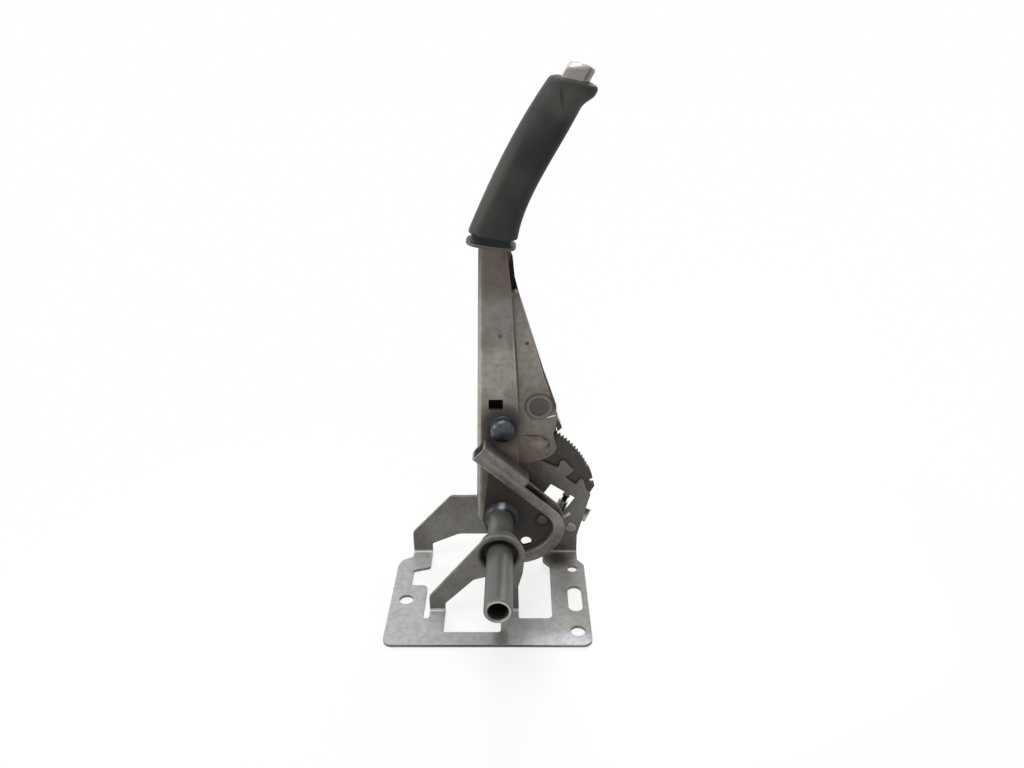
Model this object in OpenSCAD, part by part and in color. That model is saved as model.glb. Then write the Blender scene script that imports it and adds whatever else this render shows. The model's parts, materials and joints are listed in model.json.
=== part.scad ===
// Parking brake lever on its stamped bracket, drawn pulled up.
// Millimetres. X runs forward along the car, Y runs from the tube's open end to the ratchet, Z is up.
// The origin lies on the underside of the base, on the front rail, straight below the pivot axis.

/* [Base bracket] */
// Thickness of the bracket's steel sheet
bracket_t = 3; // [2.6:0.1:3.4]
// Inner radius of the bracket's bends
bend_r = 2; // [1.6:0.1:2.6]
// Reach of the base to the left of the pivot
base_left = 86; // [84:1:96]
// Reach of the base to the right of the pivot
base_right = 68; // [66:1:74]
// Reach of the base in front of the origin
base_front = 6; // [5:0.5:10]
// Bend line of the front wall, behind the origin
front_bend_y = 29; // [27:0.5:34]
// Bend line of the back wall, behind the origin
back_bend_y = 103; // [100:0.5:110]
// Height of the pivot axis above the underside of the base
pivot_h = 53; // [52:0.5:60]
// Height of the arch in the back wall below the pivot axis
arch_drop = 32; // [28:0.5:34]
// Diameter of the round fixing holes
fixing_d = 11; // [9:0.5:12]
// Width of the fixing slot
slot_w = 11; // [9:0.5:12]
// Length of the fixing slot
slot_l = 30; // [24:1:34]
// Diameter of the locating hole at the back of the right rail
locating_d = 8.5; // [6:0.5:10]
// Outer radius of the loop round the pivot tube
loop_r = 18.5; // [17.5:0.5:21]

/* [Pivot] */
// Outer diameter of the pivot tube
tube_d = 20; // [18:0.5:21]
// Bore of the pivot tube
tube_bore = 14; // [11:0.5:15]
// Reach of the tube in front of the front wall
tube_reach = 61; // [40:1:70]
// Wall of the pivot bushes
bush_wall = 2.4; // [2:0.1:2.8]
// Radial running clearance of the tube in its bushes
run_gap = 0.05; // [0.03:0.01:0.08]

/* [Ratchet] */
// Thickness of the ratchet sector and of the pawl
sector_t = 4; // [3:0.5:5]
// Radius of the sector over its tooth tips
sector_r = 77.4; // [76.4:0.2:78.4]
// Depth of the teeth
tooth_depth = 2.6; // [2:0.1:3]
// Angle from one tooth to the next
tooth_pitch = 2.54; // [2.3:0.02:2.7]
// Number of teeth
tooth_count = 14; // [12:1:14]
// Travel of the lever from pulled up to released, in degrees
lever_travel = 41.5; // [38:0.5:42]

/* [Lever] */
// Thickness of the lever's steel sheet
lever_t = 2.5; // [2:0.1:3]
// Gap between the lever's inner plate and the back wall
near_gap = 3.5; // [2.5:0.1:5]
// Gap between the sector and the lever's outer plate
far_gap = 3.5; // [3:0.1:5]
// Step of the lever's raised column in front of its pawl plate
joggle = 6; // [4:0.5:8]
// Distance from the pivot to the pawl pin along the lever
pawl_pin_z = 90.6; // [90:0.1:91.2]
// Radius of the pawl pin
pawl_pin_r = 4; // [3:0.5:4.5]

/* [Cable quadrant] */
// Outer radius of the quadrant's lips
quadrant_r = 50; // [47:0.5:51]
// Height of the lips above the cable groove
lip_h = 7; // [5:0.5:8]
// Depth of the quadrant in front of the lever
quadrant_depth = 16; // [14:0.5:18]
// Thickness of the quadrant's sheet
quadrant_t = 2.4; // [2:0.1:3]
// Depth of the dished web behind the front of its rim
web_inset = 5; // [3:0.5:7]

/* [Grip] */
// Thickness of the grip, seen from the side
grip_w = 30; // [29:0.5:34]
// Width of the grip across the car
grip_d = 30; // [29:0.5:33]
// Bend radius of the grip's centre line
grip_bend = 590; // [500:10:700]
// Width of the button
button_w = 17.5; // [15:0.5:19]
// Height of the button above the grip
button_h = 14.5; // [12:0.5:17]
// Travel of the button when pressed
button_travel = 6; // [5:0.5:7]
// Radius of the push rod
rod_r = 2.5; // [2:0.1:2.8]

/* [Hidden] */
$fn = 64;

// Small clearances
seat_gap = 0.05;
slide_gap = 0.3;

// Planes across the car, from front to back
front_wall_y = front_bend_y + bend_r;
wall_y = back_bend_y + bend_r;
sector_y = wall_y + bracket_t;
far_y = sector_y + sector_t + far_gap;
far_back_y = far_y + lever_t;
near_y = wall_y - near_gap - lever_t;
column_y = near_y - joggle;
quadrant_y = column_y - quadrant_depth;
lever_mid_y = (column_y + far_back_y) / 2;
tube_y0 = front_wall_y - tube_reach;
retainer_t = 1.5;
tube_y1 = far_back_y + retainer_t + 3;

// Rounded outlines
function unit(v) = v / norm(v);
function flat2(p) = [p[0], p[1]];
function arc_points(c, r, a0, a1, n) =
    [for (i = [0:n]) let (a = a0 + (a1 - a0) * i / n) c + r * [cos(a), sin(a)]];
function short_turn(a) = a > 180 ? a - 360 : a < -180 ? a + 360 : a;
function corner_arc(p, q, s, r, n) =
    let (a = unit(p - q), b = unit(s - q), half = acos(a * b) / 2, c = q + unit(a + b) * r / sin(half),
         start = q + a * r / tan(half) - c, end = q + b * r / tan(half) - c,
         a0 = atan2(start[1], start[0]), turn = short_turn(atan2(end[1], end[0]) - a0))
    arc_points(c, r, a0, a0 + turn, n);
// Corner points are [x, y, radius]; a radius of 0 keeps the corner sharp
function rounded(p, n = 6) = [for (i = [0:len(p) - 1])
    let (last = p[(i + len(p) - 1) % len(p)], next = p[(i + 1) % len(p)])
    each p[i][2] > 0 ? corner_arc(flat2(last), flat2(p[i]), flat2(next), p[i][2], n) : [flat2(p[i])]];
// Clockwise angle from straight up, as the lever turns
function polar(r, a) = [r * sin(a), r * cos(a)];
function turned(p, a) = [p[0] * cos(a) + p[1] * sin(a), -p[0] * sin(a) + p[1] * cos(a)];

// A flat plate standing in the side view's plane, from y to y + t
module plate(y, t) { translate([0, y + t, 0]) rotate([90, 0, 0]) linear_extrude(t) children(); }
module at_pivot() { translate([0, 0, pivot_h]) children(); }
// A round part along Y; its outline is [radius, y]
module turned_part(outline) { rotate([-90, 0, 0]) rotate_extrude() polygon(outline); }
module cross_rod(x, z, r, y0, y1) { translate([x, y0, z]) rotate([-90, 0, 0]) cylinder(r = r, h = y1 - y0); }

// A wire of round section along a path whose tangents stay square to the reference direction
function wire_ring(path, i, r, sides, ref) =
    let (t = unit(path[min(i + 1, len(path) - 1)] - path[max(i - 1, 0)]),
         n = unit(cross(t, ref)), b = cross(n, t))
    [for (k = [0:sides - 1]) path[i] + r * (cos(360 * k / sides) * n + sin(360 * k / sides) * b)];
module wire(path, r, sides, ref) {
    rings = len(path);
    points = [for (i = [0:rings - 1]) each wire_ring(path, i, r, sides, ref)];
    walls = [for (i = [0:rings - 2], k = [0:sides - 1])
        let (next = (k + 1) % sides, a = i * sides, b = a + sides)
        each [[a + k, a + next, b + next], [a + k, b + next, b + k]]];
    start = [for (k = [sides - 1:-1:0]) k];
    end = [for (k = [0:sides - 1]) (rings - 1) * sides + k];
    polyhedron(points, concat(walls, [start, end]));
}
function coil(r, z0, z1, turns, steps) = [for (i = [0:turns * steps])
    let (a = 360 * i / steps) [r * cos(a), r * sin(a), z0 + (z1 - z0) * i / (turns * steps)]];

// Base bracket
bend_top = bracket_t + bend_r;
left_leg = [-base_left + 11, -base_left + 27];
right_leg = [base_right - 34, base_right - 5];
front_left_tab = [-54.3, -42.3];
front_right_tab = [0.4, 14];
rail_x = left_leg[1];
window_x = right_leg[0] + 5.4;
front_rail_y = 7;
front_shelf_y = 22;
rail_end_y = back_bend_y - 17;
rail_notch_y = [60.8, 80.5];
rail_notch = 13.3;
fixing_left = [-base_left + 12, 43.7];
fixing_right = [base_right - 10, 8.6];
slot_at = [base_right - 10, 45];
locating_at = [base_right - 10, 82];
bush_r = tube_d / 2 + run_gap + bush_wall;
// The lever's back strip leans a little; released, its inner face comes down along the wall and the sector
strip_x = 19.8;
strip_foot = [-strip_x, 8];
strip_top = [-14.2, 214];
strip_slope = (strip_top[0] - strip_foot[0]) / (strip_top[1] - strip_foot[1]);
stop_gap = 0.8;
function strip_inner(s) = strip_foot[0] + lever_t + (s - strip_foot[1]) * strip_slope;
function stop_line(s) = turned([strip_inner(s) + stop_gap, s], lever_travel);

module base_outline() {
    polygon(rounded([
        [-base_left, -base_front, 7], [base_right, -base_front, 7], [base_right, rail_end_y + 1, 4],
        [right_leg[1], rail_end_y + 7.5, 3], [right_leg[1], back_bend_y, 0], [right_leg[0], back_bend_y, 0],
        [right_leg[0], rail_end_y + 7, 3], [window_x, rail_end_y, 3], [window_x, front_shelf_y, 4],
        [front_right_tab[1], front_shelf_y, 1.5], [front_right_tab[1], front_bend_y, 0],
        [front_right_tab[0], front_bend_y, 0], [front_right_tab[0], front_rail_y, 2],
        [front_left_tab[1], front_rail_y, 2], [front_left_tab[1], front_bend_y, 0],
        [front_left_tab[0], front_bend_y, 0], [front_left_tab[0], front_shelf_y, 2],
        [rail_x, front_shelf_y, 2], [rail_x, rail_notch_y[0], 4], [rail_x - rail_notch, rail_notch_y[0], 2],
        [rail_x - rail_notch, rail_notch_y[1], 2], [rail_x, rail_notch_y[1] + 4, 3], [rail_x, back_bend_y, 0],
        [left_leg[0], back_bend_y, 0], [left_leg[0], rail_end_y + 12, 2],
        [-base_left + 2.5, rail_end_y + 7, 4], [-base_left, rail_end_y, 3]]));
}
module fixing_holes() {
    translate(fixing_left) circle(d = fixing_d);
    translate(fixing_right) circle(d = fixing_d);
    translate(locating_at) circle(d = locating_d);
    translate(slot_at) square([slot_w, slot_l - slot_w], center = true);
    for (side = [-1, 1]) translate(slot_at + [0, side * (slot_l - slot_w) / 2]) circle(d = slot_w);
}
module bend(span, y) {
    translate([span[0], y, bend_top]) rotate([90, 0, 90]) linear_extrude(span[1] - span[0])
        intersection() {
            difference() { circle(r = bend_top); circle(r = bend_r); }
            translate([0, -bend_top]) square(bend_top);
        }
}
module front_wall_outline() {
    polygon(rounded([
        [front_left_tab[0], bend_top, 0], [front_left_tab[0], pivot_h - 37.5, 5], [-13, pivot_h + 13.1, 0],
        [0, pivot_h, 0], [-6, pivot_h - 17.4, 0], [-20, pivot_h - 21.4, 6],
        [front_left_tab[1], bend_top + 4, 3], [front_left_tab[1], bend_top, 0]]));
    polygon(rounded([
        [front_right_tab[0], bend_top, 0], [front_right_tab[0], pivot_h - 14, 0], [18.2, pivot_h - 3, 0],
        [17, pivot_h - 15.5, 6], [front_right_tab[1] - 0.4, pivot_h - 28, 12],
        [front_right_tab[1], bend_top, 0]]));
    translate([0, pivot_h]) circle(r = loop_r);
}
function up(p) = [p[0], p[1] + pivot_h, p[2]];
module back_wall_outline() {
    outer = [[left_leg[0], -31, 5], [-42, 5, 6], [strip_inner(0) + 1.8, 5, 0], concat(stop_line(0), 0),
        concat(stop_line(47), 4), [38.2, 36, 3], [44, 32.9, 1.5], [46.8, 33.4, 1], [47, 38.8, 2.4],
        [51.4, 38.4, 3], [55, 33.6, 1.5], [59, 29.6, 1.2], [52, 23.2, 1], [61, 15.4, 1.5],
        [63.4, 21, 1.5], [66.8, 21, 1.5], [69.4, 11.8, 2], [73.2, 7, 2.5],
        [66.3, -20.7, 8], [right_leg[1], -33.4, 6]];
    polygon(rounded(concat([[left_leg[0], bend_top, 0]], [for (p = outer) up(p)],
        [[right_leg[1], bend_top, 0], [right_leg[0], bend_top, 0], up([right_leg[0], -arch_drop, 8]),
         up([-36, -arch_drop, 14]), [left_leg[1], 11, 3], [left_leg[1], bend_top, 0]])));
}
// The switch window is a tilted rectangle, hung from its upper corner
window_at = [40.4, 16.6];
window_turn = -33.4;
window_size = [24.5, 21];
module switch_window() {
    translate(window_at) rotate(window_turn) translate([0, -window_size[1]]) square(window_size);
}
// The sector's upper rivet is set flush, because the lever passes close in front of it
sector_rivet_at = [57.3, -25.2];
flush_rivet_at = [28, 34];
sector_rivet_r = 3;
rivet_head_r = 4.6;
rivet_head_h = 1.8;
sink_h = 1.6;
module sector_rivet_holes() {
    for (at = [sector_rivet_at, flush_rivet_at]) translate(at) circle(r = sector_rivet_r);
}
collar_l = 9;
collar_wall = 3;
loop_back_y = front_wall_y + bracket_t + collar_l;
entry_r = 4.5;
module base_bracket() color([0.5, 0.5, 0.5]) {
    linear_extrude(bracket_t) difference() { base_outline(); fixing_holes(); }
    for (tab = [front_left_tab, front_right_tab]) bend(tab, front_bend_y);
    for (leg = [left_leg, right_leg]) bend(leg, back_bend_y);
    difference() {
        union() {
            plate(front_wall_y, bracket_t) front_wall_outline();
            at_pivot() cross_rod(0, 0, bush_r + collar_wall, front_wall_y, loop_back_y);
        }
        at_pivot() cross_rod(0, 0, bush_r, front_wall_y - 1, loop_back_y + 1);
        at_pivot() translate([0, front_wall_y, 0]) rotate([-90, 0, 0]) rotate_extrude()
            difference() {
                translate([0, -1]) square([bush_r + entry_r, entry_r + 1]);
                translate([bush_r + entry_r, entry_r]) circle(r = entry_r);
            }
    }
    difference() {
        plate(wall_y, bracket_t) difference() {
            back_wall_outline();
            translate([0, pivot_h]) {
                circle(r = bush_r);
                switch_window();
                sector_rivet_holes();
            }
        }
        at_pivot() translate([flush_rivet_at[0], wall_y, flush_rivet_at[1]]) rotate([-90, 0, 0])
            cylinder(r1 = rivet_head_r, r2 = sector_rivet_r, h = sink_h);
    }
}

// Bushes
bush_flange = 1.6;
module front_bush() color([0.12, 0.12, 0.12]) at_pivot() {
    y0 = front_wall_y + entry_r;
    y1 = loop_back_y + bush_flange;
    inner = tube_d / 2 + run_gap;
    turned_part([[inner, y0], [bush_r - seat_gap, y0], [bush_r - seat_gap, loop_back_y],
        [bush_r + 2, loop_back_y], [bush_r + 2, y1], [inner, y1]]);
}
module rear_bush() color([0.12, 0.12, 0.12]) at_pivot() {
    y0 = wall_y - bush_flange;
    y1 = wall_y + bracket_t;
    inner = tube_d / 2 + run_gap;
    turned_part([[inner, y0], [bush_r + 1.8, y0], [bush_r + 1.8, wall_y], [bush_r - seat_gap, wall_y],
        [bush_r - seat_gap, y1], [inner, y1]]);
}

// Ratchet sector: saw teeth whose steep side faces the lever's pull, then a smooth arc and the rest notch
first_tip = 32.94;
steep = 0.35 * tooth_pitch;
root_r = sector_r - tooth_depth;
pawl_tip_angle = first_tip + tooth_pitch;
notch_a0 = pawl_tip_angle + lever_travel - 2.6;
notch_a1 = pawl_tip_angle + lever_travel + 0.9;
teeth = [for (i = [0:tooth_count - 1]) let (a = first_tip + i * tooth_pitch)
    each [polar(root_r, a - steep), polar(sector_r, a)]];
last_tip = first_tip + (tooth_count - 1) * tooth_pitch;
smooth_arc = [for (i = [1:4]) polar(sector_r, last_tip + (notch_a0 - last_tip) * i / 4)];
notch_r = root_r - 0.3;
rest_notch = [polar(notch_r, notch_a0 + 0.5), polar(notch_r, notch_a1 - 0.4), polar(sector_r, notch_a1)];
hump = polar(sector_r, notch_a1 + 2.4);
hump_end = polar(sector_r - 2.4, notch_a1 + 4.6);
frame_gap = 2.6;
function window_point(u, v) = window_at + [u * cos(window_turn) + v * sin(window_turn),
    u * sin(window_turn) - v * cos(window_turn)];
sector_foot = [[70.5, 1.5, 4], [65, -20.5, 6], [62.5, -32, 4], [51, -32, 4]];
module ratchet_sector() color([0.27, 0.24, 0.22]) at_pivot() plate(sector_y, sector_t) difference() {
    stop_edge = [stop_line(37), stop_line(sqrt(root_r ^ 2 - (strip_inner(root_r) + stop_gap) ^ 2))];
    frame_right = window_size[0] + frame_gap;
    frame_low = concat(window_point(frame_right, window_size[1] + frame_gap), 2);
    frame_high = concat(window_point(frame_right, -frame_gap), 4);
    frame_left = concat(window_point(0, -frame_gap), 0);
    polygon(concat(stop_edge, teeth, smooth_arc, rest_notch, [hump],
        rounded(concat([concat(hump_end, 0)], sector_foot, [frame_low, frame_high, frame_left]))));
    sector_rivet_holes();
}
// A rivet along Y with a flat domed head at each end of its grip
module rivet(shank, head_r, head_h, y0, y1) {
    rim = 0.4 * head_h;
    crown = 0.7 * head_r;
    turned_part([[0, y0 - head_h], [crown, y0 - head_h], [head_r, y0 - rim], [head_r, y0], [shank, y0],
        [shank, y1], [head_r, y1], [head_r, y1 + rim], [crown, y1 + head_h], [0, y1 + head_h]]);
}
// The flush rivet's front head is a cone that fills its countersink
module flush_rivet(shank, head_r, head_h, y0, y1) {
    rim = 0.4 * head_h;
    crown = 0.7 * head_r;
    turned_part([[0, y0], [head_r - seat_gap, y0], [shank, y0 + sink_h], [shank, y1], [head_r, y1],
        [head_r, y1 + rim], [crown, y1 + head_h], [0, y1 + head_h]]);
}
module sector_rivets() color([0.45, 0.43, 0.4]) at_pivot() {
    shank = sector_rivet_r - seat_gap;
    back = sector_y + sector_t;
    translate([sector_rivet_at[0], 0, sector_rivet_at[1]])
        rivet(shank, rivet_head_r, rivet_head_h, wall_y, back);
    translate([flush_rivet_at[0], 0, flush_rivet_at[1]])
        flush_rivet(shank, rivet_head_r, rivet_head_h, wall_y, back);
}

// Warning switch behind the window, its plunger under the lever's toe when the lever is released
switch_back = sector_y + sector_t;
switch_at = [50.5, -9.6];
switch_tilt = 22;
barrel_r = 4;
barrel_l = 9;
plunger_r = 2.2;
plunger_travel = 2.5;
switch_y = switch_back + barrel_r + 0.5;
module on_switch() {
    at_pivot() translate([switch_at[0], switch_y, switch_at[1]]) rotate([0, switch_tilt, 0]) children();
}
switch_box = [22, 9.5, 12];
switch_left = -6.5;
switch_top = -barrel_l / 2;
spring_well = 9;
foot_in = [3, 1.2, 3];
module switch_body() color([0.06, 0.06, 0.06]) difference() {
    on_switch() translate([switch_left, switch_back - switch_y, switch_top - switch_box[2]]) {
        cube(switch_box);
        translate([foot_in[0], foot_in[1], -foot_in[2]])
            cube([switch_box[0] - 2 * foot_in[0], switch_box[1] - 2 * foot_in[1], foot_in[2]]);
    }
    on_switch() translate([0, 0, switch_top - spring_well])
        cylinder(r = plunger_r + slide_gap, h = spring_well + 1);
    relief_y = switch_back + rivet_head_h + slide_gap;
    at_pivot() cross_rod(sector_rivet_at[0], sector_rivet_at[1], rivet_head_r + slide_gap,
        switch_back - 1, relief_y);
}
rib_h = 0.4;
module switch_barrel() color([0.6, 0.6, 0.58]) on_switch() difference() {
    union() {
        translate([0, 0, switch_top]) cylinder(r = barrel_r, h = barrel_l);
        for (z = [-3, -0.5, 2]) translate([0, 0, z]) cylinder(r = barrel_r + rib_h, h = 1);
    }
    translate([0, 0, switch_top - 1]) cylinder(r = plunger_r + run_gap, h = barrel_l + 2);
}
plunger_foot = 2;
module switch_plunger() color([0.05, 0.05, 0.05]) on_switch() {
    cap_z = barrel_l / 2 + plunger_travel + 0.5;
    cap_r = plunger_r + 0.8;
    foot_z = switch_top - plunger_foot;
    translate([0, 0, foot_z]) cylinder(r = plunger_r, h = cap_z - foot_z);
    translate([0, 0, cap_z]) cylinder(r1 = plunger_r, r2 = cap_r, h = 0.8);
    translate([0, 0, cap_z + 0.8]) cylinder(r = cap_r, h = 1.7);
}
module switch_spring() color([0.6, 0.6, 0.6]) on_switch() {
    thin_wire = 0.3;
    end_gap = thin_wire + 0.1;
    turns = coil(1.6, switch_top - spring_well + end_gap, switch_top - plunger_foot - end_gap, 4, 12);
    wire(turns, thin_wire, 6, [0, 0, 1]);
}
clip_t = 0.8;
terminal_w = 4.5;
// The terminal is a bent blade: it leaves the body's end and stands up beside the bracket
module switch_terminal() color([0.75, 0.72, 0.62]) on_switch()
    translate([switch_box[0] + switch_left, -clip_t / 2, switch_top - 5]) {
        cube([9.5, clip_t, terminal_w]);
        translate([9.5 - terminal_w, 0, 0]) cube([terminal_w, clip_t, 13]);
    }
module switch_clip() color([0.75, 0.75, 0.75]) on_switch() {
    translate([switch_left - clip_t, switch_back - switch_y, switch_top - 9]) {
        cube([clip_t, switch_box[1], 8]);
        translate([0, switch_box[1], 0]) cube([8, clip_t, 8]);
    }
}

// Lever: a pressed channel, its back strip on the left, open on the right, bent into the grip
button_tilt = 30;
rod_top = [50.5, 326];
rod_bend_z = 232;
rod_bend = [rod_top[0] - (rod_top[1] - rod_bend_z) * tan(button_tilt), rod_bend_z];
// A point s along the handle's axis and n to its right
function on_grip(s, n) =
    rod_bend + s * [sin(button_tilt), cos(button_tilt)] + n * [cos(button_tilt), -sin(button_tilt)];
tongue_l = 62;
tongue_half = 7.5;
step_line = [[9.6, 182], [13.9, 84], [14.4, 38]];
pawl_pin = [30.1, pawl_pin_z];
quadrant_rivet_at = [quadrant_r - 17, -2];
quadrant_rivet_r = 3;
tongue = [on_grip(0, -tongue_half), on_grip(tongue_l, -tongue_half), on_grip(tongue_l, tongue_half),
    on_grip(0, tongue_half)];
module column_outline() {
    polygon(concat([[-strip_x, 0], strip_foot, strip_top], tongue, [[6.4, 212]], step_line, [[14.4, 0]]));
    circle(r = 20);
    polygon([[0, -14], quadrant_rivet_at + [0, -7.4], quadrant_rivet_at + [3, 6.6], [10, 19]]);
    translate(quadrant_rivet_at) circle(r = 7.5);
}
// The far plate's foot ends in a toe that comes down on the switch when the lever is released
module far_outline() {
    polygon(rounded(concat(
        [[-strip_x, 0, 0], concat(strip_foot, 0), concat(strip_top, 0)], [for (p = tongue) concat(p, 0)],
        [[7.4, 212, 1], [10.1, 205, 3], [11.6, 189, 4], [14.2, 178.5, 2], [34.1, 112.9, 0], [44.3, 83, 3],
         [44.4, 45, 3], [43.7, 38.1, 1.5], [37.1, 35.7, 1.5], [34.2, 41.5, 3], [14, 36, 6], [14, 0, 0]])));
    circle(r = 18);
}
module pawl_plate_outline() {
    polygon(rounded([[9, 182, 0], [13.4, 185, 2], [24.7, 147.5, 0], [34.1, 112.9, 0], [44.5, 82.4, 3],
        [42.8, 70.6, 2], [41.1, 66, 2], [44.4, 53.5, 4], [42, 49, 2], [35.1, 43.8, 3], [12, 38, 0],
        [11.4, 84, 0]]));
}
// The step's upper end curls over to the pawl plate's corner
step_curl = [[13.2, 184.6], [10.8, 183.6]];
module step_outline() {
    line = concat(step_curl, step_line);
    polygon(concat(line, [for (i = [len(line) - 1:-1:0]) line[i] - [lever_t, 0]]));
}
// A shallow pocket is pressed into the foot of the pawl plate
pocket_depth = 0.8;
pocket_x = step_line[2][0] + 1.5;
module pocket_outline() {
    polygon(rounded([[pocket_x, 65, 2], [24, 64.2, 10], [38.6, 58, 7], [39.9, 49, 4], [33.5, 45.2, 3],
        [pocket_x, 41, 2]]));
}
module strip_outline() {
    inner = [lever_t, 0];
    polygon([strip_foot, strip_top, on_grip(0, -tongue_half), on_grip(tongue_l, -tongue_half),
        on_grip(tongue_l, lever_t - tongue_half), on_grip(0, lever_t - tongue_half), strip_top + inner,
        strip_foot + inner]);
}
fold_r = 5;
fold_slant = atan(strip_slope);
// Cuts one long edge of the back strip to a round fold
module fold_cut(y, turn) {
    translate([strip_foot[0], y, strip_foot[1]]) rotate([0, fold_slant, 0]) rotate([0, 0, turn])
        translate([0, 0, -40]) linear_extrude(250) difference() {
            translate([-1, -1]) square(fold_r + 1);
            translate([fold_r, fold_r]) circle(r = fold_r);
        }
}
pawl_boss_r = 11;
pawl_boss_h = 0.8;
square_hole = [[-8.7, 90.9], [10.9, 8.3]];
// The holes for the tube and the pawl rivet go through both pressings
module lever_holes() {
    cross_rod(0, 0, tube_d / 2 + seat_gap, column_y - 1, far_back_y + 1);
    cross_rod(pawl_pin[0], pawl_pin[1], pawl_pin_r + seat_gap, near_y - 2, far_back_y + 1);
}
module lever_channel() color([0.5, 0.47, 0.43]) at_pivot() difference() {
    union() {
        plate(column_y, lever_t) column_outline();
        plate(near_y, lever_t) pawl_plate_outline();
        plate(column_y, joggle + lever_t) step_outline();
        plate(column_y, lever_mid_y - column_y) strip_outline();
        cross_rod(pawl_pin[0], pawl_pin[1], pawl_boss_r, near_y - pawl_boss_h, near_y);
    }
    lever_holes();
    cross_rod(quadrant_rivet_at[0], quadrant_rivet_at[1], quadrant_rivet_r + seat_gap,
        column_y - 1, column_y + lever_t + 1);
    plate(column_y - 1, lever_t + 2) translate(square_hole[0]) square(square_hole[1]);
    plate(near_y - 1, pocket_depth + 1) pocket_outline();
    fold_cut(column_y, 0);
}
// The cover closes the channel's far side and meets it along a seam in the middle of the back strip
module lever_cover() color([0.46, 0.43, 0.4]) at_pivot() difference() {
    union() {
        plate(far_y, lever_t) far_outline();
        plate(lever_mid_y, far_back_y - lever_mid_y) strip_outline();
    }
    lever_holes();
    fold_cut(far_back_y, -90);
}

// Cable quadrant: a web with a grooved rim round it, and a straight tunnel that seats the cable's end
tunnel_slant = 42;
tunnel_s = [-52.5, -7.4];
tunnel_d = quadrant_r - 8.7;
lip_d = quadrant_r - 14.5;
rim_round = quadrant_r - 27.3;
tunnel_n = [sin(tunnel_slant), cos(tunnel_slant)];
// The round part of the rim lies about a centre of its own, in front of the pivot
rim_at = [12, -2];
rim_ease = 10.6;
arc_start = -130;
arc_end = -20;
// Where the rim's straight edge would meet the tangent at the end of its round part
function rim_corner(r, d) =
    let (u = [cos(arc_end), sin(arc_end)], det = u[0] * tunnel_n[1] - u[1] * tunnel_n[0],
         e = r - rim_ease + u * rim_at)
    [(e * tunnel_n[1] - d * u[1]) / det, (d * u[0] - e * tunnel_n[0]) / det];
module rim_outline(r, d) {
    round_part = arc_points(rim_at, r - rim_ease, arc_start, arc_end, 24);
    corner = rim_corner(r, d);
    far_end = corner - 110 * [cos(tunnel_slant), -sin(tunnel_slant)];
    beyond = quadrant_r + 20;
    intersection() {
        polygon(concat(round_part, corner_arc(round_part[24], corner, far_end, rim_round - quadrant_r + r, 8),
            [far_end]));
        polygon([[-15.2, -7], [-11.8, -17], [2, -beyond], [beyond, -beyond], [beyond, beyond],
            [-5.8, beyond], [-9.6, 40.4]]);
    }
}
floor_r = quadrant_r - lip_h;
floor_d = lip_d - lip_h;
web_y = quadrant_y + web_inset;
// A band along the rim's straight part, from s0 to the tunnel's end, between two distances from the pivot
module tunnel_band(s0, d0, d1) {
    rotate(-tunnel_slant) translate([s0, d0]) square([tunnel_s[1] - s0, d1 - d0]);
}
module web_outline() { rim_outline(floor_r - quadrant_t, floor_d - quadrant_t); }
peep_hole = [20, -23.1];
peep_r = 4.3;
module cable_quadrant() color([0.3, 0.27, 0.25]) at_pivot() plate(web_y, quadrant_t) difference() {
    web_outline();
    circle(r = tube_d / 2 + seat_gap);
    translate(peep_hole) circle(r = peep_r);
    translate(quadrant_rivet_at) circle(r = quadrant_rivet_r + seat_gap);
}
module quadrant_rim() color([0.34, 0.31, 0.28]) at_pivot() plate(quadrant_y, quadrant_depth) {
    difference() { rim_outline(floor_r, floor_d); web_outline(); }
    tunnel_band(tunnel_s[0], floor_d - quadrant_t, floor_d);
}
// The lips stand on the rim and end where the tunnel begins
module lip(y) {
    at_pivot() plate(y, quadrant_t) difference() {
        rim_outline(quadrant_r, lip_d);
        rim_outline(floor_r, floor_d);
        tunnel_band(-2 * quadrant_r, 0, tunnel_d);
    }
}
module front_lip() color([0.4, 0.37, 0.34]) lip(quadrant_y);
module back_lip() color([0.4, 0.37, 0.34]) lip(column_y - quadrant_t);
module cable_tunnel() color([0.42, 0.4, 0.37]) at_pivot() {
    plate(quadrant_y, quadrant_t) tunnel_band(tunnel_s[0], floor_d, tunnel_d);
    plate(quadrant_y, quadrant_depth) tunnel_band(tunnel_s[0], tunnel_d - quadrant_t, tunnel_d);
}
quadrant_head_r = 4.3;
quadrant_head_h = 1.4;
module quadrant_rivet() color([0.32, 0.3, 0.28]) at_pivot()
    translate([quadrant_rivet_at[0], 0, quadrant_rivet_at[1]]) {
        rivet(quadrant_rivet_r, quadrant_head_r, quadrant_head_h, web_y, column_y + lever_t);
        cross_rod(0, 0, quadrant_rivet_r + 1, web_y + quadrant_t, column_y);
    }

// Pivot tube with its weld and retainer
tube_chamfer = 1;
module pivot_tube() color([0.5, 0.5, 0.48]) at_pivot() {
    r = tube_d / 2;
    b = tube_bore / 2;
    c = tube_chamfer;
    turned_part([[b + c, tube_y0], [r - c, tube_y0], [r, tube_y0 + c], [r, tube_y1 - c], [r - c, tube_y1],
        [b, tube_y1], [b, tube_y0 + c]]);
}
weld_leg = 4;
module tube_weld() color([0.25, 0.27, 0.32]) at_pivot() {
    r = tube_d / 2 + seat_gap;
    turned_part([[r, web_y], [r, web_y - weld_leg], [r + 0.45 * weld_leg, web_y - 0.85 * weld_leg],
        [r + 0.85 * weld_leg, web_y - 0.45 * weld_leg], [r + weld_leg, web_y]]);
}
module tube_retainer() color([0.35, 0.35, 0.36]) at_pivot() {
    r = tube_d / 2 + seat_gap;
    rim = r + 4.5;
    edge = 0.6;
    back = far_back_y + retainer_t;
    turned_part([[r, far_back_y], [rim, far_back_y], [rim, back - edge], [rim - edge, back], [r, back]]);
}

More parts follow.
